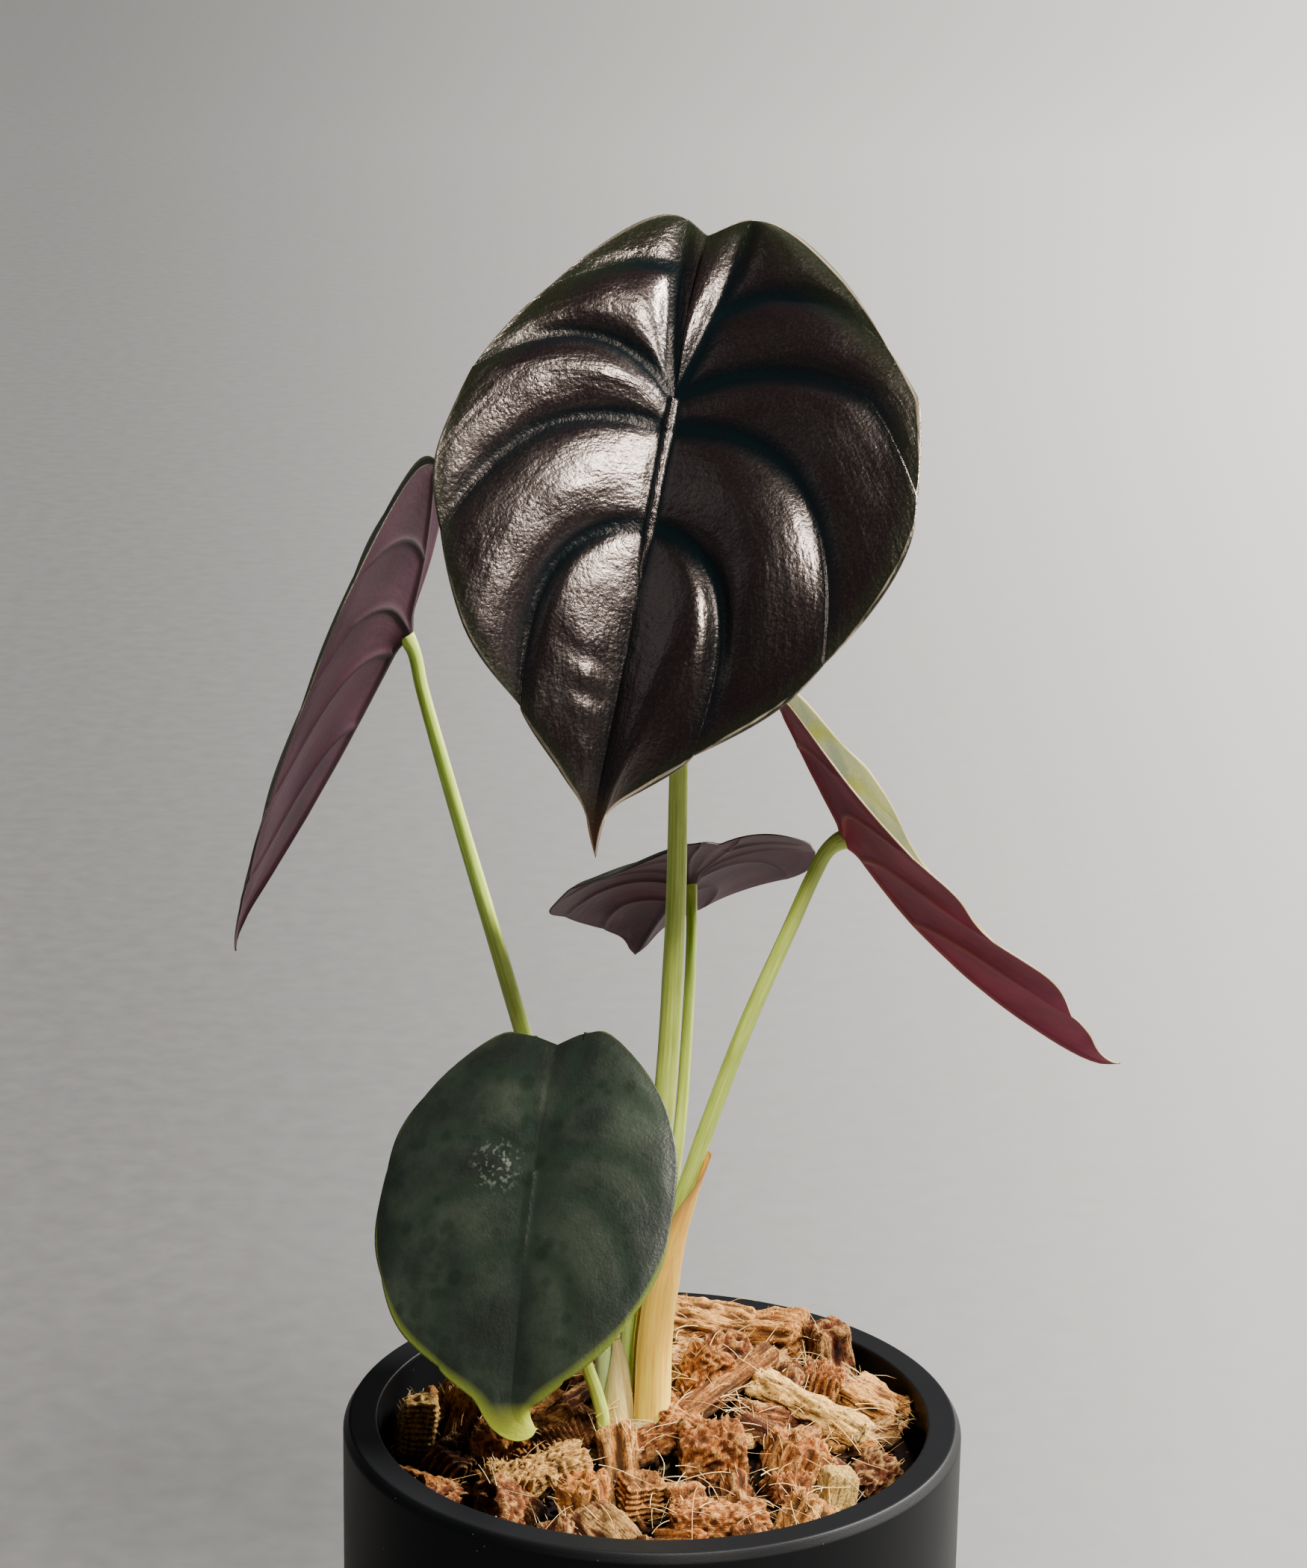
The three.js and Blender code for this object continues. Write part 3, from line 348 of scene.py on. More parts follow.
# Each petiole's centre line from the corm to the blade, as x, y, z and radius. The left one's foot is
# drawn thicker than in the solids, as in the photograph.
PETIOLES = {
    "main": (
        (-4.3, 6.1, PETIOLE_FOOT, 2.6), (-4.4, 6.1, 114, 2.5), (-4, 5.9, 126, 2.35),
        (-1.9, 5, 146, 2.2), (1.2, 4.2, 172, 2.1), (2.6, 4.6, 206, 1.95), (2.9, 6.4, 240, 1.75),
        (3, 8.6, 272, 1.65), (2.9, 7.8, 293, 1.6), (2.5, 2.6, 304.5, 1.6), (0.7, -5, 310.2, 1.6),
    ),
    "front": (
        (-9.4, -7, PETIOLE_FOOT, 1.4), (-9.6, -7, 112, 1.35), (-10.9, -7.2, 117.5, 1.3),
        (-12.9, -8, 124, 1.25), (-15.4, -10, 137, 1.2), (-16.6, -14.5, 152, 1.2),
        (-17.6, -23, 164, 1.2), (-19.8, -31, 170.5, 1.15), (-22, -35, 173.7, 1.1),
    ),
    "left": (
        (-7.9, -0.8, PETIOLE_FOOT, 3.4), (-8, -0.8, 113, 3.3), (-9.1, -0.2, 125, 2.6),
        (-14.6, 3, 146, 1.95), (-20.3, 5.8, 166, 1.8), (-26.3, 8.2, 186, 1.65),
        (-34.9, 10, 214.6, 1.5), (-42, 11, 239.2, 1.35), (-45.6, 12, 252, 1.25),
        (-47, 12, 258.5, 1.2), (-49.1, 12, 262.8, 1.15),
    ),
    "right": (
        (-0.5, 0.4, PETIOLE_FOOT, 2.9), (-0.4, 0.4, 114, 2.9), (-0.1, 0.4, 126, 2.9),
        (1.2, 0.4, 138, 2.6), (3.6, 0.5, 149, 1.8), (7, 0.7, 161, 1.6), (11.2, 1.2, 174, 1.6),
        (16.8, 2, 190, 1.55), (24.6, 3.5, 209, 1.45), (28.5, 4, 218.5, 1.4),
        (30.9, 4, 223.4, 1.35), (33, 4, 225.3, 1.35), (35.2, 4, 226.1, 1.3),
    ),
    "back": (
        (-0.2, 11, PETIOLE_FOOT, 1.6), (0.3, 11, 118, 1.55), (1.3, 12, 135, 1.4),
        (3, 14, 150, 1.25), (4.6, 17.5, 165, 1.15), (5.6, 22.5, 182, 1.1), (6.1, 30, 196, 1.05),
        (6, 35, 203, 1.05), (5.5, 38, 207, 1),
    ),
}

# How pale the petioles are above the coir, and each one's swelling below its blade: shares and reaches
PALE_FEET = {"left": 1, "right": 0.8, "main": 0.4}
PETIOLE_SWELLING = ((0.3, 2.2), (0.1, 7))
PETIOLE_SIDES = 28
PETIOLE_RINGS = 12
PETIOLE_END_GAP = 0.9

# A wrap pairs a station of the petiole with the half angle covered there. The short sheath's is wider than
# in the solids, as in the photograph.
SHEATH_WALL = 0.75
SHEATH_EDGE_HALF = 0.09
SHEATH_THINNING = (-0.2, 2.2)
SHEATH_CURL = 0.35
SHEATH_LEAD = 4
CLEARANCE = 0.3
SHEATH_ROWS = 90
SHEATH_COLUMNS = 34
SHEATHS = {
    "tall": dict(
        petiole="right", facing=-75, wrap=((0.1, 165), (3, 160), (4, 140), (4.4, 115), (4.9, 65), (5.25, 28)),
    ),
    "short": dict(petiole="left", facing=-143, wrap=((0.3, 78), (1, 66), (1.6, 40), (2.05, 14))),
}

# Multipliers of the repeatable noise
HASH_STEPS = (374761393, 668265263, 2147483629, 1274126177)
HASH_MASK = 0xFFFFFFFF


# Numbers

def lerp(a, b, share):
    return a + (b - a) * share


def smoothstep(x, low, high):
    t = np.clip((x - low) / (high - low), 0, 1)
    return t * t * (3 - 2 * t)


def bell(gap, width):
    """1 where the gap is 0, falling off smoothly over the width."""
    return np.exp(-(gap / width) ** 2)


def normed(vectors):
    return vectors / np.linalg.norm(vectors, axis=-1, keepdims=True)


def make_random(seed):
    """The seeded draw from 0 to 1 that also places the chips in the solids."""
    state = [seed]

    def draw():
        state[0] = (state[0] * 16807) % 2147483647
        return state[0] / 2147483647

    return draw


def on_disc(draw, reach):
    """A drawn place on a disc of the given radius."""
    bearing, away = draw() * 2 * math.pi, reach * math.sqrt(draw())
    return away * math.cos(bearing), away * math.sin(bearing)


def neighbours(points, t):
    """The four points around each t, where whole numbers of t are the points, and how far t is past one."""
    points = np.asarray(points, float)
    padded = np.vstack([2 * points[0] - points[1], points, 2 * points[-1] - points[-2]])
    t = np.asarray(t, float)
    i = np.clip(np.floor(t).astype(int), 0, len(points) - 2)
    return [padded[i + k] for k in range(4)], (t - i)[..., None]


def through_points(points, t):
    """Smooth curve through points, where whole numbers of t are the points."""
    (p0, p1, p2, p3), f = neighbours(points, t)
    square = 2 * p0 - 5 * p1 + 4 * p2 - p3
    cube = 3 * p1 - p0 - 3 * p2 + p3
    return 0.5 * (2 * p1 + (p2 - p0) * f + square * f ** 2 + cube * f ** 3)


def hashed(x, y, z, seed):
    """A repeatable number from 0 to 1 for each whole-numbered place."""
    mixed = (x * HASH_STEPS[0] + y * HASH_STEPS[1] + z * HASH_STEPS[2] + seed * HASH_STEPS[3]) & HASH_MASK
    mixed = ((mixed ^ (mixed >> 13)) * HASH_STEPS[3]) & HASH_MASK
    mixed = mixed ^ (mixed >> 16)
    return (mixed & 0xFFFFFF) / 0xFFFFFF


def noise(places, size, seed=0, octaves=1):
    """Smooth noise from -1 to 1 with features of the given size."""
    total = np.zeros(places.shape[:-1])
    reach = 0.0
    for octave in range(octaves):
        scaled = places * (2.0 ** octave / size)
        cell = np.floor(scaled).astype(np.int64)
        share = scaled - cell
        share = share * share * (3 - 2 * share)
        value = np.zeros(places.shape[:-1])
        for corner in range(8):
            step = [(corner >> k) & 1 for k in range(3)]
            weight = np.ones(places.shape[:-1])
            for k in range(3):
                weight = weight * (share[..., k] if step[k] else 1 - share[..., k])
            spot = [cell[..., k] + step[k] for k in range(3)]
            value += weight * hashed(*spot, seed + octave)
        total += (2 * value - 1) * 0.5 ** octave
        reach += 0.5 ** octave
    return total / reach


# Meshes

def grid_faces(rows, columns, first=0, flipped=False, closed=False):
    """Quads over a grid of points stored row by row. A closed grid joins its last column to its first."""
    j = np.arange(columns if closed else columns - 1)
    i = np.arange(rows - 1)[:, None]
    after = (j + 1) % columns
    corners = [i * columns + j, (i + 1) * columns + j, (i + 1) * columns + after, i * columns + after]
    quads = np.stack([first + corner for corner in corners], -1).reshape(-1, 4)
    return quads[:, ::-1] if flipped else quads


def make_piece(name, points, faces, materials, values=None, face_materials=None, weld=0.0):
    """A smooth-shaded mesh object from points in mm, with named values on its points."""
    mesh = bpy.data.meshes.new(name)
    mesh.from_pydata((np.asarray(points) * MM).tolist(), [], [list(map(int, face)) for face in faces])
    for key, value in (values or {}).items():
        value = np.asarray(value, np.float32)
        kind, field = ("FLOAT_VECTOR", "vector") if value.ndim == 2 else ("FLOAT", "value")
        attribute = mesh.attributes.new(key, kind, "POINT")
        attribute.data.foreach_set(field, value.ravel())
    for material in materials:
        mesh.materials.append(material)
    if face_materials is not None:
        mesh.polygons.foreach_set("material_index", np.asarray(face_materials, np.int32))
    if weld:
        shape = bmesh.new()
        shape.from_mesh(mesh)
        bmesh.ops.remove_doubles(shape, verts=shape.verts, dist=weld * MM)
        shape.to_mesh(mesh)
        shape.free()
    mesh.polygons.foreach_set("use_smooth", np.ones(len(mesh.polygons), bool))
    mesh.update()
    piece = bpy.data.objects.new(name, mesh)
    bpy.context.scene.collection.objects.link(piece)
    return piece


def settle(piece, slot, *nodes):
    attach(piece, "root")
    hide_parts(*nodes)


# Shader nodes

def rgb(red, green, blue):
    """A linear colour from the 0 to 255 values seen on a screen."""
    def linear(value):
        share = value / 255
        return share / 12.92 if share <= 0.04045 else ((share + 0.055) / 1.055) ** 2.4
    return (linear(red), linear(green), linear(blue), 1.0)


class Finish:
    """A material whose nodes are added by short calls. Colours are given by their 0 to 255 screen values."""

    def __init__(self, name):
        self.material = bpy.data.materials.new(name)
        self.material.use_nodes = True
        self.tree = self.material.node_tree
        self.tree.nodes.clear()
        self.surface = self.tree.nodes.new("ShaderNodeBsdfPrincipled")
        self.add("OutputMaterial", None, dict(Surface=self.surface.outputs["BSDF"]))

    def fill(self, socket, value):
        if isinstance(value, bpy.types.NodeSocket):
            self.tree.links.new(value, socket)
        elif value is not None:
            socket.default_value = rgb(*value) if socket.type == "RGBA" else value

    def add(self, kind, output, inputs, **settings):
        """A new node's output, after its settings and its inputs by name or number."""
        node = self.tree.nodes.new("ShaderNode" + kind)
        for key, value in settings.items():
            setattr(node, key, value)
        for key, value in inputs.items():
            self.fill(node.inputs[key], value)
        return None if output is None else node.outputs[output]

    def done(self, **inputs):
        """The material, once its surface has the inputs."""
        for key, value in inputs.items():
            self.fill(self.surface.inputs[key.replace("_", " ")], value)
        return self.material

    def value(self, name, output="Fac"):
        return self.add("Attribute", output, {}, attribute_name=name)

    def grain(self):
        return self.value("grain", "Vector")

    def vectors(self, operation, first, second=None, output="Vector"):
        return self.add("VectorMath", output, {0: first, 1: second}, operation=operation)

    def place(self, size=1, source=None):
        """The surface's own coordinates, in mm over size, or those of a source."""
        size = size if isinstance(size, tuple) else (size,) * 3
        if source is None:
            source = self.add("TexCoord", "Object", {})
            size = [MM * length for length in size]
        return self.vectors("DIVIDE", source, size)

    def part(self, vector, axis):
        return self.add("SeparateXYZ", axis, dict(Vector=vector))

    def noise(self, size, detail=3.0, roughness=0.55, source=None):
        """Noise from 0 to 1 with features of about the given size in mm."""
        inputs = dict(Vector=self.place(size, source), Scale=1.0, Detail=detail, Roughness=roughness)
        return self.add("TexNoise", "Fac", inputs)

    def cells(self, size):
        return self.add("TexVoronoi", "Distance", dict(Vector=self.place(size), Scale=1.0))

    def span(self, value, low, high, start=0.0, end=1.0):
        """The value from low to high, mapped to start to end and held there."""
        names = ("Value", "From Min", "From Max", "To Min", "To Max")
        return self.add("MapRange", "Result", dict(zip(names, (value, low, high, start, end))))

    def math(self, operation, first, second=None):
        return self.add("Math", "Value", {0: first, 1: second}, operation=operation)

    def times(self, first, second):
        return self.math("MULTIPLY", first, second)

    def mix(self, share, first, second):
        """The first colour, and the second by its share. The numbers are the node's sockets for colours."""
        return self.add("Mix", 2, {0: share, 6: first, 7: second}, data_type="RGBA")

    def tint(self, first, second, *span):
        """The first colour, turned to the second where a value runs through its span."""
        return self.mix(self.span(*span), first, second)

    def ramp(self, value, *stops):
        node = self.add("ValToRGB", "Color", dict(Fac=value)).node
        points = node.color_ramp.elements
        while len(points) < len(stops):
            points.new(1.0)
        for point, (position, colour) in zip(points, stops):
            point.position = position
            point.color = rgb(*colour)
        return node.outputs["Color"]

    def bump(self, height, depth, normal=None):
        """A bump as deep as the height times depth in mm."""
        return self.add("Bump", "Normal", dict(Distance=depth * MM, Height=height, Normal=normal))


# Stage, lights and camera

def make_stage():
    finish = Finish("floor_grey")
    grain = finish.noise(9, 2.0)
    spot = finish.place()
    # Painted light: the floor is painted darker on the left and nearby, lighter on the right and far off.
    away = finish.math("ADD", finish.math("ABSOLUTE", finish.part(spot, "Y")), FLOOR_FAN)
    across = finish.math("DIVIDE", finish.part(spot, "X"), away)
    lit = finish.math("POWER", finish.span(across, -FLOOR_EDGE, FLOOR_EDGE), FLOOR_EASE)
    near, far = (finish.mix(lit, *tones) for tones in (NEAR_PAINTED_LIGHT_TONES, FAR_PAINTED_LIGHT_TONES))
    tone = finish.tint(near, far, finish.part(spot, "Y"), *FLOOR_DEPTH)
    tone = finish.tint(tone, (200, 200, 200), grain, 0.3, 0.7, 0, FLOOR_GRAIN)
    corners = [(FLOOR_HALF * x, FLOOR_HALF * y, 0) for x, y in ((-1, -1), (1, -1), (1, 1), (-1, 1))]
    floor = make_piece("floor", corners, [(0, 1, 2, 3)], [finish.done(Base_Color=tone, Roughness=0.95)])


def put(thing, place, side, upward, forward):
    """Puts a lamp or camera at a place in mm, looking forward."""
    thing.location = [MM * value for value in place]
    thing.rotation_euler = Matrix(np.column_stack([side, upward, -forward]).tolist()).to_euler()
    bpy.context.scene.collection.objects.link(thing)


def add_light(name, kind, place, power, colour, **shape):
    light = bpy.data.lights.new(name, kind)
    light.energy = power
    light.color = rgb(*colour)[:3]
    for key, value in shape.items():
        setattr(light, key, value)
    forward = normed(np.subtract(LIT_PLACE, place))
    side = normed(np.cross(forward, UP))
    put(bpy.data.objects.new(name, light), place, side, np.cross(side, forward), forward)


def make_lights():
    world = bpy.data.worlds.new("studio")
    bpy.context.scene.world = world
    world.use_nodes = True
    background = world.node_tree.nodes["Background"]
    background.inputs["Color"].default_value = rgb(*WORLD_COLOUR)
    background.inputs["Strength"].default_value = WORLD_STRENGTH
    add_light("key", "SUN", KEY_PLACE, KEY_STRENGTH, KEY_COLOUR, angle=math.radians(KEY_ANGLE))
    for name, (place, power, size, colour) in SOFT_LIGHTS.items():
        add_light(name, "AREA", place, power, colour, shape="SQUARE", size=MM * size)


def make_camera():
    camera = bpy.data.cameras.new("camera")
    camera.sensor_width = SENSOR
    camera.lens = FOCAL_PIXELS / IMAGE_LONG_SIDE * SENSOR
    camera.clip_start, camera.clip_end = CAMERA_CLIP
    eye = bpy.data.objects.new("camera", camera)
    pitch, roll = math.radians(CAMERA_PITCH), math.radians(CAMERA_ROLL)
    forward = np.array([0, math.cos(pitch), -math.sin(pitch)])
    level = np.array([1.0, 0, 0])
    upward = np.cross(level, forward)
    side = level * math.cos(roll) + upward * math.sin(roll)
    top = upward * math.cos(roll) - level * math.sin(roll)
    put(eye, CAMERA_PLACE, side, top, forward)
    bpy.context.scene.camera = eye


# Blades

def make_spine(leaf, towards_tip):
    """The spine's frames at even steps from the petiole towards the tip or the lobes."""
    length = leaf["tip"] if towards_tip else leaf["lobe"]
    direction = -1 if towards_tip else 1
    f = np.linspace(0, 1, SPINE_STEPS + 1)
    end = np.maximum((f - HOOK_START) / (1 - HOOK_START), 0)
    if towards_tip:
        arch = leaf["arch"] * f + leaf["tip_arch"] * end ** ARCH_EASE
        swing = leaf["sweep"] * f + leaf["hook"] * end ** HOOK_EASE
        twist = leaf["twist"] * f
        fold = lerp(leaf["fold"], leaf["tip_fold"], f) * (1 - end)
    else:
        arch = leaf["lobe_arch"] * f
        swing = 0 * f
        twist = leaf["lobe_twist"] * f
        fold = lerp(leaf["fold"], leaf["lobe_fold"], f)
    arch, swing, twist = (np.radians(angle)[:, None] for angle in (arch, swing, twist))
    level = np.hstack([np.cos(swing), np.sin(swing), 0 * swing])
    flat = np.hstack([np.sin(swing), direction * np.cos(swing), 0 * swing])
    tangent = flat * np.cos(arch) - UP * np.sin(arch)
    raised = UP * np.cos(arch) + flat * np.sin(arch)
    side = level * np.cos(twist) + raised * np.sin(twist)
    normal = raised * np.cos(twist) - level * np.sin(twist)
    steps = (tangent[1:] + tangent[:-1]) * (length / SPINE_STEPS / 2)
    point = np.vstack([np.zeros(3), np.cumsum(steps, 0)])
    return dict(point=point, side=side, normal=normal, fold=np.radians(fold), length=length)


def bend_leaf(leaf, spines, x, y):
    """Maps flat leaf coordinates (mm, towards +Y for the lobes) to the leaf's curved surface."""
    curved = np.zeros(x.shape + (3,))
    for spine, chosen in ((spines[0], y < 0), (spines[1], y >= 0)):
        place = np.abs(y[chosen]) / spine["length"] * SPINE_STEPS
        i = np.minimum(np.floor(place).astype(int), SPINE_STEPS - 1)
        f = (place - i)[:, None]
        held = np.minimum(f, 1)
        across = x[chosen]
        reach = np.abs(across)
        curl = np.radians(leaf["cup"]) / np.where(across > 0, leaf["right"], leaf["left"])
        fold = lerp(spine["fold"][i], spine["fold"][i + 1], held[:, 0])
        out = (np.sin(fold + curl * reach) - np.sin(fold)) / curl
        rise = -(np.cos(fold + curl * reach) - np.cos(fold)) / curl
        side = lerp(spine["side"][i], spine["side"][i + 1], held)
        normal = lerp(spine["normal"][i], spine["normal"][i + 1], held)
        point = lerp(spine["point"][i], spine["point"][i + 1], f)
        curved[chosen] = point + side * (np.sign(across) * out)[:, None] + normal * rise[:, None]
    return curved


def turn(angle, axis):
    return Matrix.Rotation(math.radians(angle), 4, axis)


def leaf_places(leaf, x, y):
    """Places and normals of flat coordinates on the blade's smooth middle surface."""
    spines = (make_spine(leaf, True), make_spine(leaf, False))
    matrix = Matrix.Translation(leaf["attach"]) @ turn(leaf["yaw"], "Z") @ turn(-leaf["lean"], "X")
    matrix = np.array(matrix @ turn(90, "X") @ turn(leaf["roll"], "Z"))
    small = 0.05
    ahead = bend_leaf(leaf, spines, x + small, y) - bend_leaf(leaf, spines, x - small, y)
    along = bend_leaf(leaf, spines, x, y + small) - bend_leaf(leaf, spines, x, y - small)
    normals = normed(np.cross(ahead, along))
    places = bend_leaf(leaf, spines, x, y)
    return places @ matrix[:3, :3].T + matrix[:3, 3], normals @ matrix[:3, :3].T


def half_point(leaf, veins, s, u):
    """One half's point in shares of the blade: s runs down the spine, u from the spine to the margin."""
    veins = np.array(veins)
    top = through_points(leaf["outline"], veins[0, 1])
    lobe = np.maximum(s, 0)
    spine = np.stack([top[0] * lobe * (2 - lobe), np.where(s > 0, top[1] * s, s)], -1)
    margin = through_points(leaf["outline"], np.interp(-s, -veins[:, 0], veins[:, 1]))
    bend = np.stack([np.interp(-s, -veins[:, 0], veins[:, k]) for k in (2, 3)], -1)
    u = u[..., None]
    return (1 - u) ** 2 * spine + 2 * u * (1 - u) * bend + u * u * margin


def eased(count, strength=0.5):
    """Shares from 0 to 1, closer together towards both ends."""
    even = np.linspace(0, 1, count + 1)
    return lerp(even, 0.5 - 0.5 * np.cos(math.pi * even), strength)


def row_shares(veins, rows, panels):
    """The spine share, panel number and share across the panel of each row of points."""
    s, panel_of, fraction_of = [], [], []
    for panel in range(panels):
        for fraction in eased(rows)[(1 if panel else 0):]:
            s.append(lerp(veins[panel][0], veins[panel + 1][0], fraction))
            panel_of.append(panel)
            fraction_of.append(fraction)
    return np.array(s), np.array(panel_of), np.array(fraction_of)


def blade_patches(leaf):
    """Three grids of points in flat shares: the right half, the left half, and between the basal veins."""
    patches = []
    u = eased(leaf["columns"])
    for veins, panels, side in ((RIGHT_VEINS, RIGHT_PANELS, 1), (LEFT_VEINS, LEFT_PANELS, -1)):
        s, panel, fraction = row_shares(veins, leaf["rows"], len(veins) - 1)
        below = s < LAST_VEIN
        fraction = np.where(below, np.clip((LAST_VEIN - s) / (1 + LAST_VEIN), 0, 1) ** 0.5, fraction)
        panel = np.where(below, LAST_PANEL, panel)
        s, u_grid = np.meshgrid(s, u, indexing="ij")
        place = half_point(leaf, veins, s, u_grid)
        shares = [np.array(panels)[panel, k:k + 1] for k in range(4)]
        height = panel_height(fraction[:, None], s, u_grid, *shares)
        bulge = 1 + SCALLOP * (np.sin(math.pi * fraction)[:, None] - 0.4) * smoothstep(u_grid, 0.7, 1)
        patches.append(dict(
            x=place[..., 0] * side * bulge, y=place[..., 1] * bulge, height=height, flipped=side < 0,
            across=fraction[:, None] + 0 * u_grid, out=u_grid, panel=panel[:, None] + 0 * u_grid + 10 * side,
            central=False,
        ))
    starts = [row_shares(veins, leaf["rows"], PETIOLE_VEIN)[0] for veins in (LEFT_VEINS, RIGHT_VEINS)]
    j = eased(leaf["columns"] // 2, 0.3)
    s = lerp(starts[0][:, None], starts[1][:, None], j[None, :])
    across = 2 * j - 1
    top_at = np.where(across < 0, LEFT_VEINS[0][1], RIGHT_VEINS[0][1]) * np.abs(across)
    top = through_points(leaf["outline"], top_at)
    x = np.sign(across) * top[:, 0] * s * (2 - s)
    height = np.sin(math.pi * j) * np.sin(math.pi * np.clip(s, 0, 1)) ** CENTRE_ROUNDNESS
    patches.append(dict(
        x=x, y=top[:, 1] * s, height=height * CENTRE_SHARE, flipped=False,
        across=j + 0 * s, out=s, panel=30 + 0 * s, central=True,
    ))
    return patches


def panel_height(fraction, s, u, inner, outer, height, kept):
    """Height of the quilted panels between the veins, as a share of the leaf's relief."""
    dome = np.sin(math.pi * np.clip(fraction, 0, 1)) ** PANEL_ROUNDNESS
    share = np.clip(u / inner, 0, 1)
    rise = (4 * share - share ** 4) / 3
    return dome * rise * lerp(1, kept, smoothstep(u, outer, 1)) * height * smoothstep(s, *PANEL_TIP)


def vein_lines(leaf):
    """Points along each side vein in flat mm, with how strong the vein is there."""
    t = np.linspace(0, 1, VEIN_STEPS)
    for veins, side in ((RIGHT_VEINS, 1), (LEFT_VEINS, -1)):
        starts = [vein[0] for vein in veins[1:] if vein[0] >= LAST_VEIN]
        lines = [(half_point(leaf, veins, start + 0 * t, t), (1 - t) ** 0.5) for start in starts]
        lines.append((half_point(leaf, veins, t, 0 * t), 1 - 0.6 * t))
        for line, strength in lines:
            yield flat_mm(leaf, line[:, 0] * side, line[:, 1]), strength


def flat_mm(leaf, x, y):
    width = np.where(x > 0, leaf["right"], leaf["left"])
    length = np.where(y > 0, leaf["lobe"], leaf["tip"])
    return np.stack([x * width, y * length], -1)


def nearest(places, line):
    """Distance from each place to a line's points, and which point is nearest."""
    best = np.full(len(places), np.inf)
    which = np.zeros(len(places), int)
    for start in range(0, len(places), NEAREST_BLOCK):
        block = slice(start, start + NEAREST_BLOCK)
        gaps = np.linalg.norm(places[block, None, :] - line[None, :, :], axis=-1)
        which[block] = gaps.argmin(1)
        best[block] = gaps.min(1)
    return best, which


def vein_marks(leaf, flat, down):
    """How far each place belongs to a vein, to a vein's halo and to its valley, and the gap to the spine."""
    vein, halo, valley = np.zeros((3, len(flat)))
    for line, strength in vein_lines(leaf):
        gap, which = nearest(flat, line)
        there = strength[which]
        vein = np.maximum(vein, bell(gap, VEIN_WIDTH * (0.35 + 0.65 * there)) * there ** 0.5)
        halo = np.maximum(halo, bell(gap, VEIN_HALO) * there ** 0.5)
        valley = np.maximum(valley, bell(gap, VALLEY) * np.minimum(1, 2 * there))
    gap = np.where(flat[:, 1] < 0, np.abs(flat[:, 0]), np.hypot(flat[:, 0], flat[:, 1]))
    low = smoothstep(down, 0.1, 0.6)
    vein = np.maximum(vein, bell(gap, VEIN_WIDTH * (1 - 0.6 * low)))
    halo = np.maximum(halo, bell(gap, VEIN_HALO) * (1 - 0.5 * low))
    valley = np.maximum(valley, bell(gap, lerp(*SPINE_VALLEY, low)))
    return vein, halo, valley, gap


def small_relief(leaf, places, flat, down, out, edge):
    """The ripple and the wrinkles of a blade, in mm."""
    seed = leaf["seed"]
    seeded = places + seed * 31.7
    (wide, high), (fine, low) = RIPPLES
    ripple = high * noise(seeded, wide, seed, 2) + low * noise(seeded, fine, seed + 9, 2)
    ripple *= smoothstep(edge, 0, 4)
    start, end = WRINKLE_REACH
    wrinkled = smoothstep(down, *start) * (1 - smoothstep(down, *end)) * (flat[:, 0] < 0)
    wrinkled = wrinkled * smoothstep(out, 0, 0.3) * (1 - smoothstep(out, 0.4, 0.8))
    along = flat[:, 1] + 0.25 * flat[:, 0]
    swell = np.sin(along * (2 * math.pi / WRINKLE_PITCH) + 2 * noise(seeded, 9, 77))
    return ripple * min(1, leaf["relief"]) + WRINKLE_HEIGHT * leaf["relief"] * wrinkled * swell


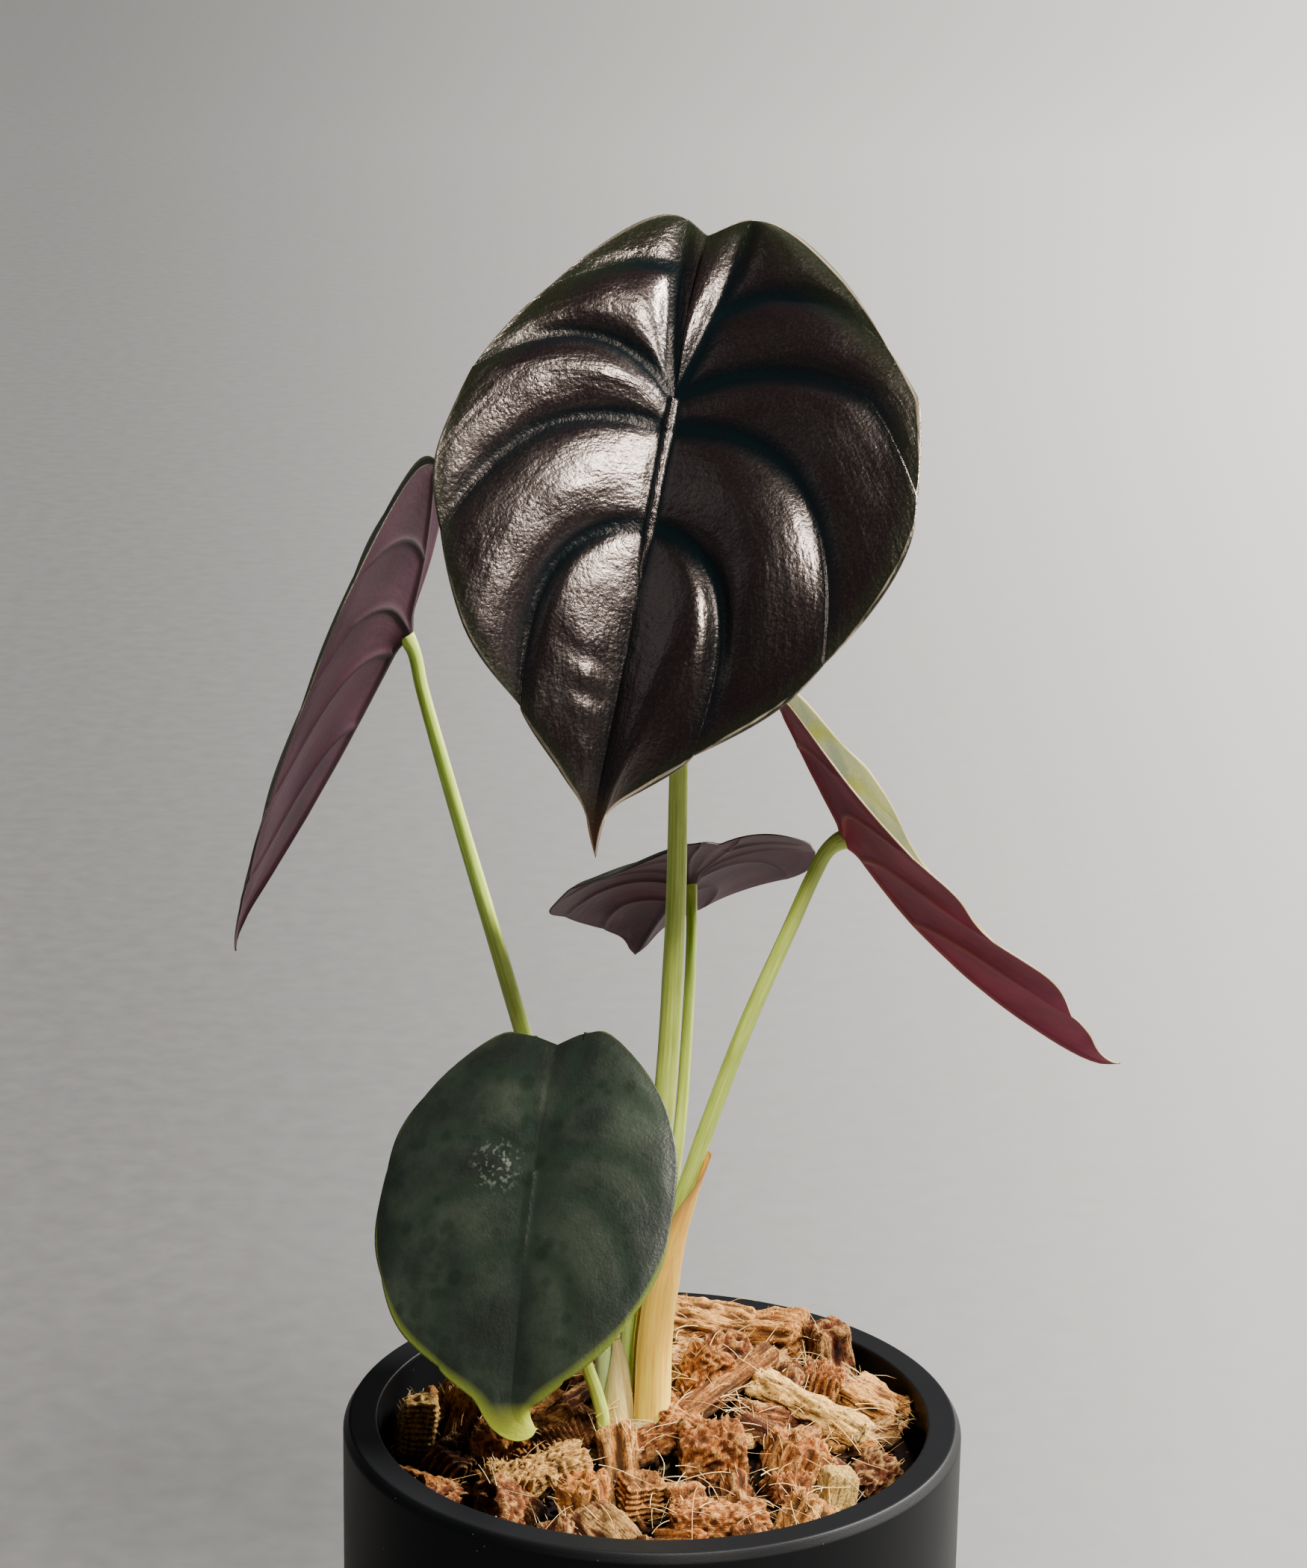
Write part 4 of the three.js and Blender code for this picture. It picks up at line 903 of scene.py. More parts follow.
def make_blade(name, top_finish, under_finish, slot):
    leaf = LEAVES[name]
    patches = blade_patches(leaf)
    x, y, height, across, out, panel = (
        np.concatenate([patch[key].ravel() for patch in patches])
        for key in ("x", "y", "height", "across", "out", "panel")
    )
    flat = flat_mm(leaf, x, y)
    places, normals = leaf_places(leaf, flat[:, 0], flat[:, 1])
    vein, halo, valley, spine_gap = vein_marks(leaf, flat, -y)
    margin = through_points(leaf["outline"], np.linspace(0, len(leaf["outline"]) - 1, MARGIN_STEPS))
    margins = np.vstack([flat_mm(leaf, margin[:, 0] * side, margin[:, 1]) for side in (1, -1)])
    edge = nearest(flat, margins)[0]

    lift = height * (1 - valley) * leaf["relief"] + small_relief(leaf, places, flat, -y, out, edge)
    taper = smoothstep(edge, 0, MARGIN_TAPER)
    half = lerp(MARGIN_HALF, BLADE_HALF, taper)
    rib = bell(spine_gap, RIB_WIDTH) * smoothstep(y, *RIB_FADE) * (flat[:, 1] < 0)
    boss = BOSS_HEIGHT * bell(np.linalg.norm(flat, axis=1), BOSS_REACH)
    under = lift - half - UNDER_RIDGE * vein * taper - boss
    upper = lift + half + leaf["rib"] * rib
    points = np.vstack([places + normals * upper[:, None], places + normals * under[:, None]])
    values = dict(
        vein=vein, halo=halo * (1 - RIB_SHINE * rib), edge=edge, down=-y,
        # Painted highlight: how strongly the margin's edge is painted pale where light catches it, less on
        # the left half
        pale=leaf["edge_light"] * np.where(flat[:, 0] > 0, 1, leaf["left_light"]),
        grain=np.stack([across * 14, out * 40, panel * 7.3], -1),
    )
    values = {key: np.concatenate([value, value]) for key, value in values.items()}

    faces, sides = [], []
    count = len(flat)
    first = 0
    for patch in patches:
        rows, columns = patch["x"].shape
        for lower in (False, True):
            faces.append(grid_faces(rows, columns, first + lower * count, patch["flipped"] != lower))
            sides.append(np.full(len(faces[-1]), float(lower)))
        grid = first + np.arange(rows * columns).reshape(rows, columns)
        rim = grid[0, :] if patch["central"] else grid[:, -1]
        wall = np.stack([rim[:-1], rim[1:], rim[1:] + count, rim[:-1] + count], -1)
        faces.append(wall[:, ::-1] if patch["central"] or patch["flipped"] else wall)
        sides.append(np.zeros(len(wall)))
        first += rows * columns
    finishes = [top_finish, under_finish]
    piece = make_piece(
        f"leaf_{name}", points, np.vstack(faces), finishes, values, np.concatenate(sides), weld=0.004,
    )
    settle(piece, slot, f"blade_{name}")


# Petioles and sheaths

def curve_points(stations, t):
    """Places on the smooth line through the stations that the solids follow too."""
    (p0, p1, p2, p3), w = neighbours([station[:3] for station in stations], t)
    d0, d1, d2 = (np.linalg.norm(b - a, axis=1)[:, None] ** 0.5 for a, b in ((p0, p1), (p1, p2), (p2, p3)))
    start = ((p1 - p0) / d0 - (p2 - p0) / (d0 + d1) + (p2 - p1) / d1) * d1
    end = ((p2 - p1) / d1 - (p3 - p1) / (d1 + d2) + (p3 - p2) / d2) * d1
    return (
        p1 + start * w + (3 * (p2 - p1) - 2 * start - end) * w ** 2 + (2 * (p1 - p2) + start + end) * w ** 3
    )


def petiole_frames(stations, t):
    """Centres, two cross directions, radii and lengths so far along a petiole."""
    last = len(stations) - 1
    small = 0.0001 * last
    centre = curve_points(stations, t)
    after, before = np.minimum(t + small, last), np.maximum(t - small, 0)
    tangent = normed(curve_points(stations, after) - curve_points(stations, before))
    side = np.array([0.0, 1.0, 0.0])
    sides = []
    for direction in tangent:
        side = normed(side - side.dot(direction) * direction)
        sides.append(side)
    radius = np.interp(t, np.arange(last + 1), [station[3] for station in stations])
    run = np.concatenate([[0], np.cumsum(np.linalg.norm(np.diff(centre, axis=0), axis=1))])
    return centre, np.array(sides), np.cross(tangent, sides), radius, run


def make_petiole(name, seed, finish):
    stations = PETIOLES[name]
    last = len(stations) - 1
    frames = petiole_frames(stations, np.linspace(0, last, last * PETIOLE_RINGS + 1))
    kept = frames[4] <= frames[4][-1] - PETIOLE_END_GAP
    centre, side, other, radius, run = (values[kept] for values in frames)
    left = run[-1] - run
    radius = radius * (1 + sum(share * bell(left, reach) for share, reach in PETIOLE_SWELLING))
    angle = np.linspace(0, 2 * math.pi, PETIOLE_SIDES, endpoint=False)
    ring = np.stack([np.cos(angle), np.sin(angle)])
    spots = np.stack(np.broadcast_arrays(*ring, run[:, None] * 0.03), -1)
    ribs = noise(spots * 3.2, 1.0, seed, 2) * 0.03 + noise(spots, 0.8, 3) * 0.035
    radius = radius[:, None] * (1 + ribs)
    points = centre[:, None] + (
        side[:, None] * (ring[0] * radius)[..., None] + other[:, None] * (ring[1] * radius)[..., None]
    )
    count = points.shape[0] * PETIOLE_SIDES
    faces = grid_faces(len(run), PETIOLE_SIDES, closed=True).tolist()
    faces.append(list(range(PETIOLE_SIDES)))
    faces.append(list(range(count - 1, count - PETIOLE_SIDES - 1, -1)))
    grain = np.stack(np.broadcast_arrays(*(ring[:, None] * radius[:, :1]), run[:, None]), -1)
    pale = np.full(count, PALE_FEET.get(name, 0))
    values = dict(grain=grain.reshape(-1, 3), run=np.repeat(run, PETIOLE_SIDES), pale=pale)
    piece = make_piece(f"stalk_{name}", points.reshape(-1, 3), faces, [finish], values)
    settle(piece, "petiole", f"petiole_{name}")


def make_sheath(name, finish, slot):
    sheath = SHEATHS[name]
    wrap = np.array(sheath["wrap"])
    t = np.linspace(wrap[0, 0], wrap[-1, 0], SHEATH_ROWS)
    lead = np.linspace(0, wrap[0, 0], SHEATH_LEAD, endpoint=False)
    frames = petiole_frames(PETIOLES[sheath["petiole"]], np.concatenate([lead, t]))
    centre, side, other, radius, run = (values[len(lead):] for values in frames)
    half = np.radians(np.interp(t, wrap[:, 0], wrap[:, 1]))
    across = np.linspace(-1, 1, SHEATH_COLUMNS)
    angle = math.radians(sheath["facing"]) + half[:, None] * across
    level = 0 * angle
    up = (run - run[0]) / (run[-1] - run[0])
    edge = (1 - np.abs(across)) * half[:, None] * radius[:, None]
    edge = np.minimum(edge, (run[-1] - run)[:, None])
    thin = smoothstep(edge, *SHEATH_THINNING)
    spots = np.stack([np.cos(angle) * 2, np.sin(angle) * 2, run[:, None] * 0.08 + level], -1)
    wave = noise(spots * 2.2, 1.0, 5, 3) * 0.16 + noise(spots, 1.6, 8) * 0.22
    middle = radius[:, None] + CLEARANCE + SHEATH_WALL / 2 + wave * (0.3 + 0.7 * thin)
    middle = middle + SHEATH_CURL * (1 - thin) * smoothstep(up, 0.4, 1)[:, None]
    wall = lerp(SHEATH_EDGE_HALF, SHEATH_WALL / 2, thin)
    direction = side[:, None] * np.cos(angle)[..., None] + other[:, None] * np.sin(angle)[..., None]
    points = [centre[:, None] + direction * reach[..., None] for reach in (middle + wall, middle - wall)]
    rows, columns = angle.shape
    count = rows * columns
    grid = np.arange(count).reshape(rows, columns)
    loop = np.concatenate([grid[0], grid[1:, -1], grid[-1, -2::-1], grid[-2:0:-1, 0]])
    after = np.roll(loop, -1)
    faces = [
        grid_faces(rows, columns), grid_faces(rows, columns, count, True),
        np.stack([loop, after, after + count, loop + count], -1)[:, ::-1],
    ]
    grain = np.stack([np.cos(angle) * middle, np.sin(angle) * middle, run[:, None] + level], -1)
    values = dict(grain=grain.reshape(-1, 3), edge=edge.ravel(), up=(up[:, None] + level).ravel())
    values = {key: np.concatenate([value, value]) for key, value in values.items()}
    piece = make_piece(f"husk_{name}", np.reshape(points, (-1, 3)), np.vstack(faces), [finish], values)
    settle(piece, slot, f"sheath_{name}")


# Pot, corm and coir

def lathe(profile, sides, shape=None):
    """Points and quads of a profile of [radius, height] turned about +Z, for an axis point at each end."""
    profile = np.asarray(profile, float)
    angle = np.linspace(0, 2 * math.pi, sides, endpoint=False)
    points = np.stack([
        profile[:, :1] * np.cos(angle), profile[:, :1] * np.sin(angle),
        np.broadcast_to(profile[:, 1:], (len(profile), sides)),
    ], -1)
    if shape is not None:
        points = shape(points)
    return points.reshape(-1, 3), grid_faces(len(profile), sides, closed=True)[:, ::-1]


def rounded(profile, radius, steps=4):
    """The profile with its inner corners turned into small arcs, and points close to each side's ends."""
    profile = np.asarray(profile, float)
    path = [profile[0]]
    for before, corner, after in zip(profile, profile[1:], profile[2:]):
        back, ahead = before - corner, after - corner
        reach = min(radius, np.linalg.norm(back) / 3, np.linalg.norm(ahead) / 3)
        back, ahead = normed(back) * reach, normed(ahead) * reach
        path.append(corner + back * 2)
        for t in np.linspace(0, 1, steps + 1):
            path.append(corner + (1 - t) ** 2 * back + t * t * ahead)
        path.append(corner + ahead * 2)
    path.append(profile[-1])
    return np.array(path)


def make_pot(finish):
    inner = POT_RADIUS - POT_WALL
    profile = rounded([
        (AXIS_RADIUS, 0), (POT_RADIUS - BASE_CHAMFER, 0), (POT_RADIUS, BASE_CHAMFER),
        (POT_RADIUS, POT_HEIGHT - SHOULDER_HEIGHT), (POT_RADIUS - SHOULDER_WIDTH, POT_HEIGHT),
        (inner, POT_HEIGHT), (inner, POT_FLOOR), (AXIS_RADIUS, POT_FLOOR),
    ], POT_EDGE_ROUND)
    points, faces = lathe(profile, POT_SIDES)
    settle(make_piece("pot_shell", points, faces, [finish], weld=0.02), "pot", "pot")


def mound_height(x, y):
    away = (x - MOUND_X) ** 2 + (y - MOUND_Y) ** 2
    return FILL_EDGE_HEIGHT + MOUND_RISE * np.exp(-away / (2 * MOUND_SPREAD ** 2))


def make_bed(finish):
    """The filling under the chips, with a rough top."""
    share = np.linspace(0.0002, 1, BED_RINGS)
    top = np.stack([share * FILL_RADIUS, share * 0 + POT_HEIGHT], -1)
    foot = POT_FLOOR + 1
    profile = np.vstack([[(AXIS_RADIUS, foot), (FILL_RADIUS, foot)], top[::-1]])

    def shape(points):
        (wide, high), (fine, low) = BED_ROUGHNESS
        rough = high * noise(points, wide, 3, 3) + low * noise(points, fine, 4, 2)
        height = mound_height(points[..., 0], points[..., 1]) - BED_DEPTH + rough
        points[..., 2] = np.where(points[..., 2] > foot + 1, height, points[..., 2])
        return points

    points, faces = lathe(profile, BED_SIDES, shape)
    # The bed's low, dark tone is partly the fine husk's own colour, partly painted shade for the gaps between
    # the chips.
    tone = noise(points, 5, 6, 2) * 0.3 + 0.25
    bed = dict(points=points, faces=faces, grain=points, tone=tone, warm=0.6, relief=0.5)
    make_husk("coir_bed", [bed], finish, weld=0.01)


def make_husk(name, bits, finish, weld=0.0):
    """One piece of coir from many bits, each with its points, faces and the values of its finish."""
    starts = np.cumsum([0] + [len(bit["points"]) for bit in bits])
    faces = np.vstack([bit["faces"] + start for bit, start in zip(bits, starts)])
    points, grain = (np.vstack([bit[key] for bit in bits]) for key in ("points", "grain"))
    values = {
        key: np.concatenate([np.broadcast_to(bit[key], len(bit["points"])) for bit in bits])
        for key in ("tone", "warm", "relief")
    }
    values.update(grain=grain, sunk=sunk_share(points))
    settle(make_piece(name, points, faces, [finish], values, weld=weld), "coir", "coir_chips")


def sunk_share(points):
    """How deep points lie in the gaps of the heap, from 0 on top to 1 deep down: the share of painted shade
    there.
    """
    above = points[:, 2] - mound_height(points[:, 0], points[:, 1])
    return 1 - smoothstep(above, SUNK_TO, SUNK_FROM)


def keep_clear(points):
    """Moves points out of the stems and in from the pot's wall."""
    points = points.copy()
    for stations in PETIOLES.values():
        x, y, heights, radii = np.transpose(stations[:6])
        middle = np.stack([np.interp(points[:, 2], heights, line) for line in (x, y)], -1)
        reach = np.interp(points[:, 2], heights, radii) + STEM_ROOM
        gap = points[:, :2] - middle
        away = np.linalg.norm(gap, axis=1)
        push = (points[:, 2] < heights[-1]) & (away < reach)
        scale = np.where(push, reach / np.maximum(away, 0.01), 1)
        points[:, :2] = middle + gap * scale[:, None]
    away = np.linalg.norm(points[:, :2], axis=1)
    room = FILL_RADIUS - WALL_ROOM
    points[:, :2] *= (room / np.maximum(away, room))[:, None]
    return points


# The corners of a block, in the order in which the solids' chips are shaped.
CORNERS = np.array([
    (1, 1, 1), (1, -1, 1), (1, 1, -1), (1, -1, -1), (-1, 1, -1), (-1, -1, -1), (-1, 1, 1), (-1, -1, 1),
])


def shaped_block(draw, place, size, turns, corner_share, look):
    """One chip with its corners drawn in or out, its axes and its finish."""
    shares = np.array([[lerp(*corner_share, draw()) for _ in range(3)] for _ in CORNERS])
    corners = CORNERS * (np.array(size) / 2) * shares
    spin, tip, tilt = (Matrix.Rotation(turns[k], 3, axis) for k, axis in ((2, "Z"), (1, "Y"), (0, "X")))
    axes = np.array(spin @ tip @ tilt)
    return dict(
        zip(("kind", "tone", "warm"), look), corners=corners @ axes.T + place, axes=axes,
        centre=np.array(place, float), size=np.array(size, float),
    )


def chip_blocks():
    """The same chips as in the solids: the placed ones, and a spiral of others wherever there is room."""
    draw = make_random(CHIP_SEED)
    blocks = [
        shaped_block(draw, place, size, [math.radians(angle) for angle in turns], PLACED_CORNER_SHARE, look)
        for (place, size, turns), look in zip(PLACED_CHIPS, PLACED_LOOKS)
    ]
    for index in range(CHIP_COUNT):
        bearing = index * GOLDEN_ANGLE
        away = CHIP_REACH * math.sqrt((index + 0.5) / CHIP_COUNT)
        x, y = away * math.cos(bearing), away * math.sin(bearing)
        length = lerp(*CHIP_LENGTH, draw())
        width = length * lerp(*CHIP_WIDTH_SHARE, draw())
        thickness = length * CHIP_THICKNESS_SHARE
        turns = ((draw() - 0.5) * CHIP_TILT, (draw() - 0.5) * CHIP_TILT, draw() * math.pi)
        if any(math.hypot(chip[0][0] - x, chip[0][1] - y) < PLACED_ROOM for chip in PLACED_CHIPS):
            continue
        place = (x, y, mound_height(x, y) + thickness * CHIP_STAND)
        tone, warm = (float(hashed(np.array(index), np.array(seed), np.array(3), 11)) for seed in (7, 8))
        look = (OTHER_KINDS[index % len(OTHER_KINDS)], 0.15 + 0.6 * tone, 0.25 + 0.75 * warm)
        blocks.append(shaped_block(draw, place, (length, width, thickness), turns, CHIP_CORNER_SHARE, look))
    for index, block in enumerate(blocks):
        block["index"] = index
    return blocks


def block_surface(cuts):
    """A cube's surface from -1 to 1 as points and quads, with its own number of cuts along each axis."""
    points, faces = [], []
    first = 0
    for axis in range(3):
        ahead, beside = (axis + 1) % 3, (axis + 2) % 3
        lines = [np.linspace(-1, 1, cuts[k] + 1) for k in (ahead, beside)]
        a, b = np.meshgrid(*lines, indexing="ij")
        for sign in (-1, 1):
            sheet = np.empty(a.shape + (3,))
            sheet[..., axis] = sign
            sheet[..., ahead] = a
            sheet[..., beside] = b
            faces.append(grid_faces(*a.shape, first, sign > 0))
            points.append(sheet.reshape(-1, 3))
            first += a.size
    points = np.vstack(points)
    faces = np.vstack(faces)[:, ::-1]
    _, kept, same = np.unique(np.round(points, 6), axis=0, return_index=True, return_inverse=True)
    return points[kept], same.ravel()[faces]


def husk_relief(kind, local, seed):
    """Height in mm of a kind of husk at places in a chip's own axes, and how lit it is painted, from 0 to 1:
    painted shade in its hollows, painted light on its crests.
    """
    height, size = PATTERN_BEND
    bent = local + height * np.stack([noise(local, size, seed + k, 2) for k in range(3)], -1)
    along = bent / (FIBRE_STRETCH, 1, 1)
    torn = 0.5 - 1.4 * np.abs(noise(along, 1.6, seed + 5, 2))
    if kind == "ribbed":
        relief = 0.4 * np.sin(bent[:, 0] * (2 * math.pi / RIB_PITCH)) + 0.6 * torn
    elif kind == "grooved":
        turn_at = np.abs(bent[:, 1]) + np.abs(bent[:, 2])
        relief = 0.5 * np.sin(turn_at * (2 * math.pi / GROOVE_PITCH)) + 0.6 * torn
    elif kind == "granular":
        relief = 0.4 - 1.2 * np.abs(noise(bent, 1.4, seed + 5, 2)) + 0.5 * noise(bent, 0.8, seed + 6)
    elif kind == "fibrous":
        relief = 1.3 * torn + 0.5 * noise(bent / (3, 1, 1), 0.9, seed + 6)
    elif kind == "wood":
        relief = 0.6 * noise(bent / (14, 1, 1), 0.9, seed + 5, 2)
    else:
        relief = 0.15 * noise(along, 0.9, seed + 5, 2)
    return relief, smoothstep(relief, *PAINTED_LIGHT_RELIEF)


def chip_bit(block, cell):
    """One chip: the block with worn edges, torn ends and its own kind of surface."""
    unit, faces = block_surface([max(4, round(side / cell)) for side in block["size"]])
    worn = unit / (np.abs(unit) ** CHIP_SQUARENESS).sum(1, keepdims=True) ** (1 / CHIP_SQUARENESS)
    weights = np.prod((1 + worn[:, None, :] * CORNERS[None]) / 2, axis=2)
    points = weights @ block["corners"]
    local = (points - block["centre"]) @ block["axes"]
    seed = block["index"] * 7
    outward = normed(worn / (block["size"] / block["size"].max()))
    spots = local + seed * 3.1
    ends = np.abs(outward[:, 0]) ** 2
    rough = 0 if block["kind"] in SMOOTH_KINDS else 1
    lumps = LUMPS[0][rough] * noise(spots, LUMPS[1], seed, 2)
    relief, light = husk_relief(block["kind"], spots, seed)
    torn = TORN_ENDS[0][rough] * ends * noise(spots * (0.15, 1, 1), TORN_ENDS[1], seed + 90, 2)
    moved = outward * (lumps + relief * (1 - 0.5 * ends))[:, None]
    moved[:, 0] += np.sign(outward[:, 0]) * torn
    # Painted light and shade: at the ends it follows partly how far each end is torn out.
    light = light * (1 - 0.5 * ends) + 0.5 * ends * smoothstep(torn, -0.5, 0.5)
    return dict(
        points=keep_clear(points + moved @ block["axes"].T), faces=faces, grain=local + block["index"] * 23.0,
        tone=block["tone"], warm=block["warm"], relief=light,
    )


def make_chips(blocks, finish):
    placed = len(PLACED_CHIPS)
    make_husk("coir_chunks_1", [chip_bit(block, CHIP_CELL) for block in blocks[:FIRST_CHIPS]], finish)
    make_husk("coir_chunks_2", [chip_bit(block, CHIP_CELL) for block in blocks[FIRST_CHIPS:placed]], finish)
    make_husk("coir_chunks_3", [chip_bit(block, OTHER_CHIP_CELL) for block in blocks[placed:]], finish)


def strand(draw, start, direction, length, radius, droop):
    """A fibre: the rings of a three-sided tube along a curving line, its radius drawn from a range."""
    radius = lerp(*radius, draw())
    t = np.linspace(0, 1, STRAND_STEPS + 1)[:, None]
    bend = np.array([draw() - 0.5, draw() - 0.5, draw() - 0.5]) * 2
    wave = np.array([draw() - 0.5, draw() - 0.5, draw() - 0.5])
    line = start + direction * length * t + bend * length * STRAND_BEND * t ** 2
    line = line + wave * length * STRAND_WAVE * np.sin(t * 5 + draw() * 6) - UP * droop * length * t ** 2
    ahead = normed(np.gradient(line, axis=0))
    side = normed(np.cross(ahead, (0.31, 0.52, 0.79)))
    other = np.cross(ahead, side)
    thick = radius * (1 - STRAND_TAPER * t)
    angles = np.arange(3) * (2 * math.pi / 3)
    return np.stack([line + (side * math.cos(a) + other * math.sin(a)) * thick for a in angles], 1)


def make_strands(name, strands, finish):
    """One piece from many strands, each with its tone."""
    rings = STRAND_STEPS + 1
    count = rings * 3
    loops = grid_faces(rings, 3, closed=True).tolist() + [[2, 1, 0], [count - 3, count - 2, count - 1]]
    faces = [[k * count + corner for corner in loop] for k in range(len(strands)) for loop in loops]
    points = np.vstack([keep_clear(tube.reshape(-1, 3)) for tube, _ in strands])
    values = dict(tone=np.repeat([tone for _, tone in strands], count))
    settle(make_piece(name, points, faces, [finish], values), "coir", "coir_chips")


def block_strand(draw, block, place, lean, kind):
    """A strand from a place on a chip, in the chip's own axes, of a drawn length."""
    start, direction = block["centre"] + block["axes"] @ place, block["axes"] @ normed(lean)
    length = lerp(*kind["length"], draw() ** 2)
    return strand(draw, start, direction, length, kind["radius"], kind["droop"])


def make_fibres(blocks, finish):
    """Fibres that stand out from the chips, short fuzz on the placed chips, and loose fibres on the heap."""
    draw = make_random(FIBRE_SEED)
    fibres, fuzz = [], []
    for block in blocks:
        for _ in range(FIBRES_PER_CHIP[block["kind"]] + TUFTS.get(block["index"], 0)):
            sign = 1 if draw() < 0.5 else -1
            share = (sign * lerp(0.15, 0.46, draw()), lerp(-0.46, 0.46, draw()), lerp(0.1, 0.5, draw()))
            lean = np.array([sign, lerp(-0.5, 0.5, draw()), lerp(-0.1, 0.75, draw())])
            tube = block_strand(draw, block, block["size"] * share, lean, CHIP_FIBRE)
            fibres.append((tube, lerp(0.4, 1, draw())))
    for block in blocks[:len(PLACED_CHIPS)]:
        for _ in range(FUZZ_PER_CHIP):
            spot = np.array([lerp(-1, 1, draw()) for _ in range(3)])
            spot = spot / np.abs(spot).max() * 0.96
            lean = spot * (1, 0.6, 0.6) + np.array([lerp(-0.6, 0.6, draw()) for _ in range(3)])
            tube = block_strand(draw, block, spot * block["size"] / 2, lean, FUZZ)
            fuzz.append((tube, lerp(0.1, 0.9, block["tone"]) * lerp(0.7, 1.1, draw())))
    make_strands("coir_fuzz", fuzz, finish)
    for index in range(LOOSE_FIBRES):
        x, y = on_disc(draw, LOOSE_REACH)
        if index % 4 > 0:
            x = abs(x)
        heading = draw() * 2 * math.pi
        direction = np.array([math.cos(heading), math.sin(heading), lerp(0.0, 0.3, draw())])
        start = np.array([x, y, mound_height(x, y) + lerp(3.5, 7.5, draw())])
        length = lerp(*LOOSE_FIBRE["length"], draw())
        tube = strand(draw, start, direction, length, LOOSE_FIBRE["radius"], LOOSE_FIBRE["droop"])
        fibres.append((tube, 0.6 + 0.4 * draw()))
    make_strands("coir_fibres", fibres, finish)


def make_crumbs(finish):
    """Small torn bits that fill the gaps between the chips."""
    draw = make_random(CRUMB_SEED)
    unit, faces = block_surface((3, 3, 3))
    bits = []
    for k in range(CRUMB_COUNT):
        x, y = on_disc(draw, CRUMB_REACH)
        size = np.array([1.0, lerp(0.35, 0.8, draw()), lerp(0.3, 0.6, draw())])
        size = size * lerp(*CRUMB_SIZE, draw() ** 2)
        spin = Matrix.Rotation(draw() * 7, 3, "Z") @ Matrix.Rotation(draw() * 7, 3, "X")
        local = unit / np.linalg.norm(unit, axis=1, keepdims=True) ** 0.6 * size / 2
        local = local * (1 + 0.35 * noise(local + k * 3.1, 1.6, k)[:, None])
        centre = np.array([x, y, mound_height(x, y) + lerp(-1.5, 2.5, draw())])
        points = keep_clear(local @ np.array(spin).T + centre)
        bits.append(dict(points=points, faces=faces, grain=local + k * 11.3, relief=0.6, tone=draw()))
    for k, bit in enumerate(bits):
        bit["warm"] = bits[k - 5]["tone"]
    make_husk("coir_crumbs", bits, finish)


def make_crown(finish):
    """The corm's crown, ringed with leaf scars."""
    foot = CORM_TOP - CORM_HEIGHT
    outline = [(CORM_RADIUS * across, foot + CORM_HEIGHT * up) for across, up in CORM_PROFILE]
    outline = [(AXIS_RADIUS, foot)] + outline + [(AXIS_RADIUS, CORM_TOP)]
    dense = through_points(outline, np.linspace(0, len(outline) - 1, CORM_STEPS))
    dense[:, 0] = np.maximum(dense[:, 0], AXIS_RADIUS)

    def shape(points):
        rings = SCAR_HEIGHT * np.sin(points[..., 2] * SCAR_WAVES)
        rough = 0.5 * noise(points, 2.5, 12, 3)
        away = np.linalg.norm(points[..., :2], axis=-1, keepdims=True)
        grown = 1 + (rings + rough)[..., None] / np.maximum(away, 3)
        points[..., :2] = points[..., :2] * grown + (CORM_X, CORM_Y)
        return points

    points, faces = lathe(dense, CORM_SIDES, shape)
    settle(make_piece("crown", points, faces, [finish], weld=0.02), "corm", "corm")


# Finishes

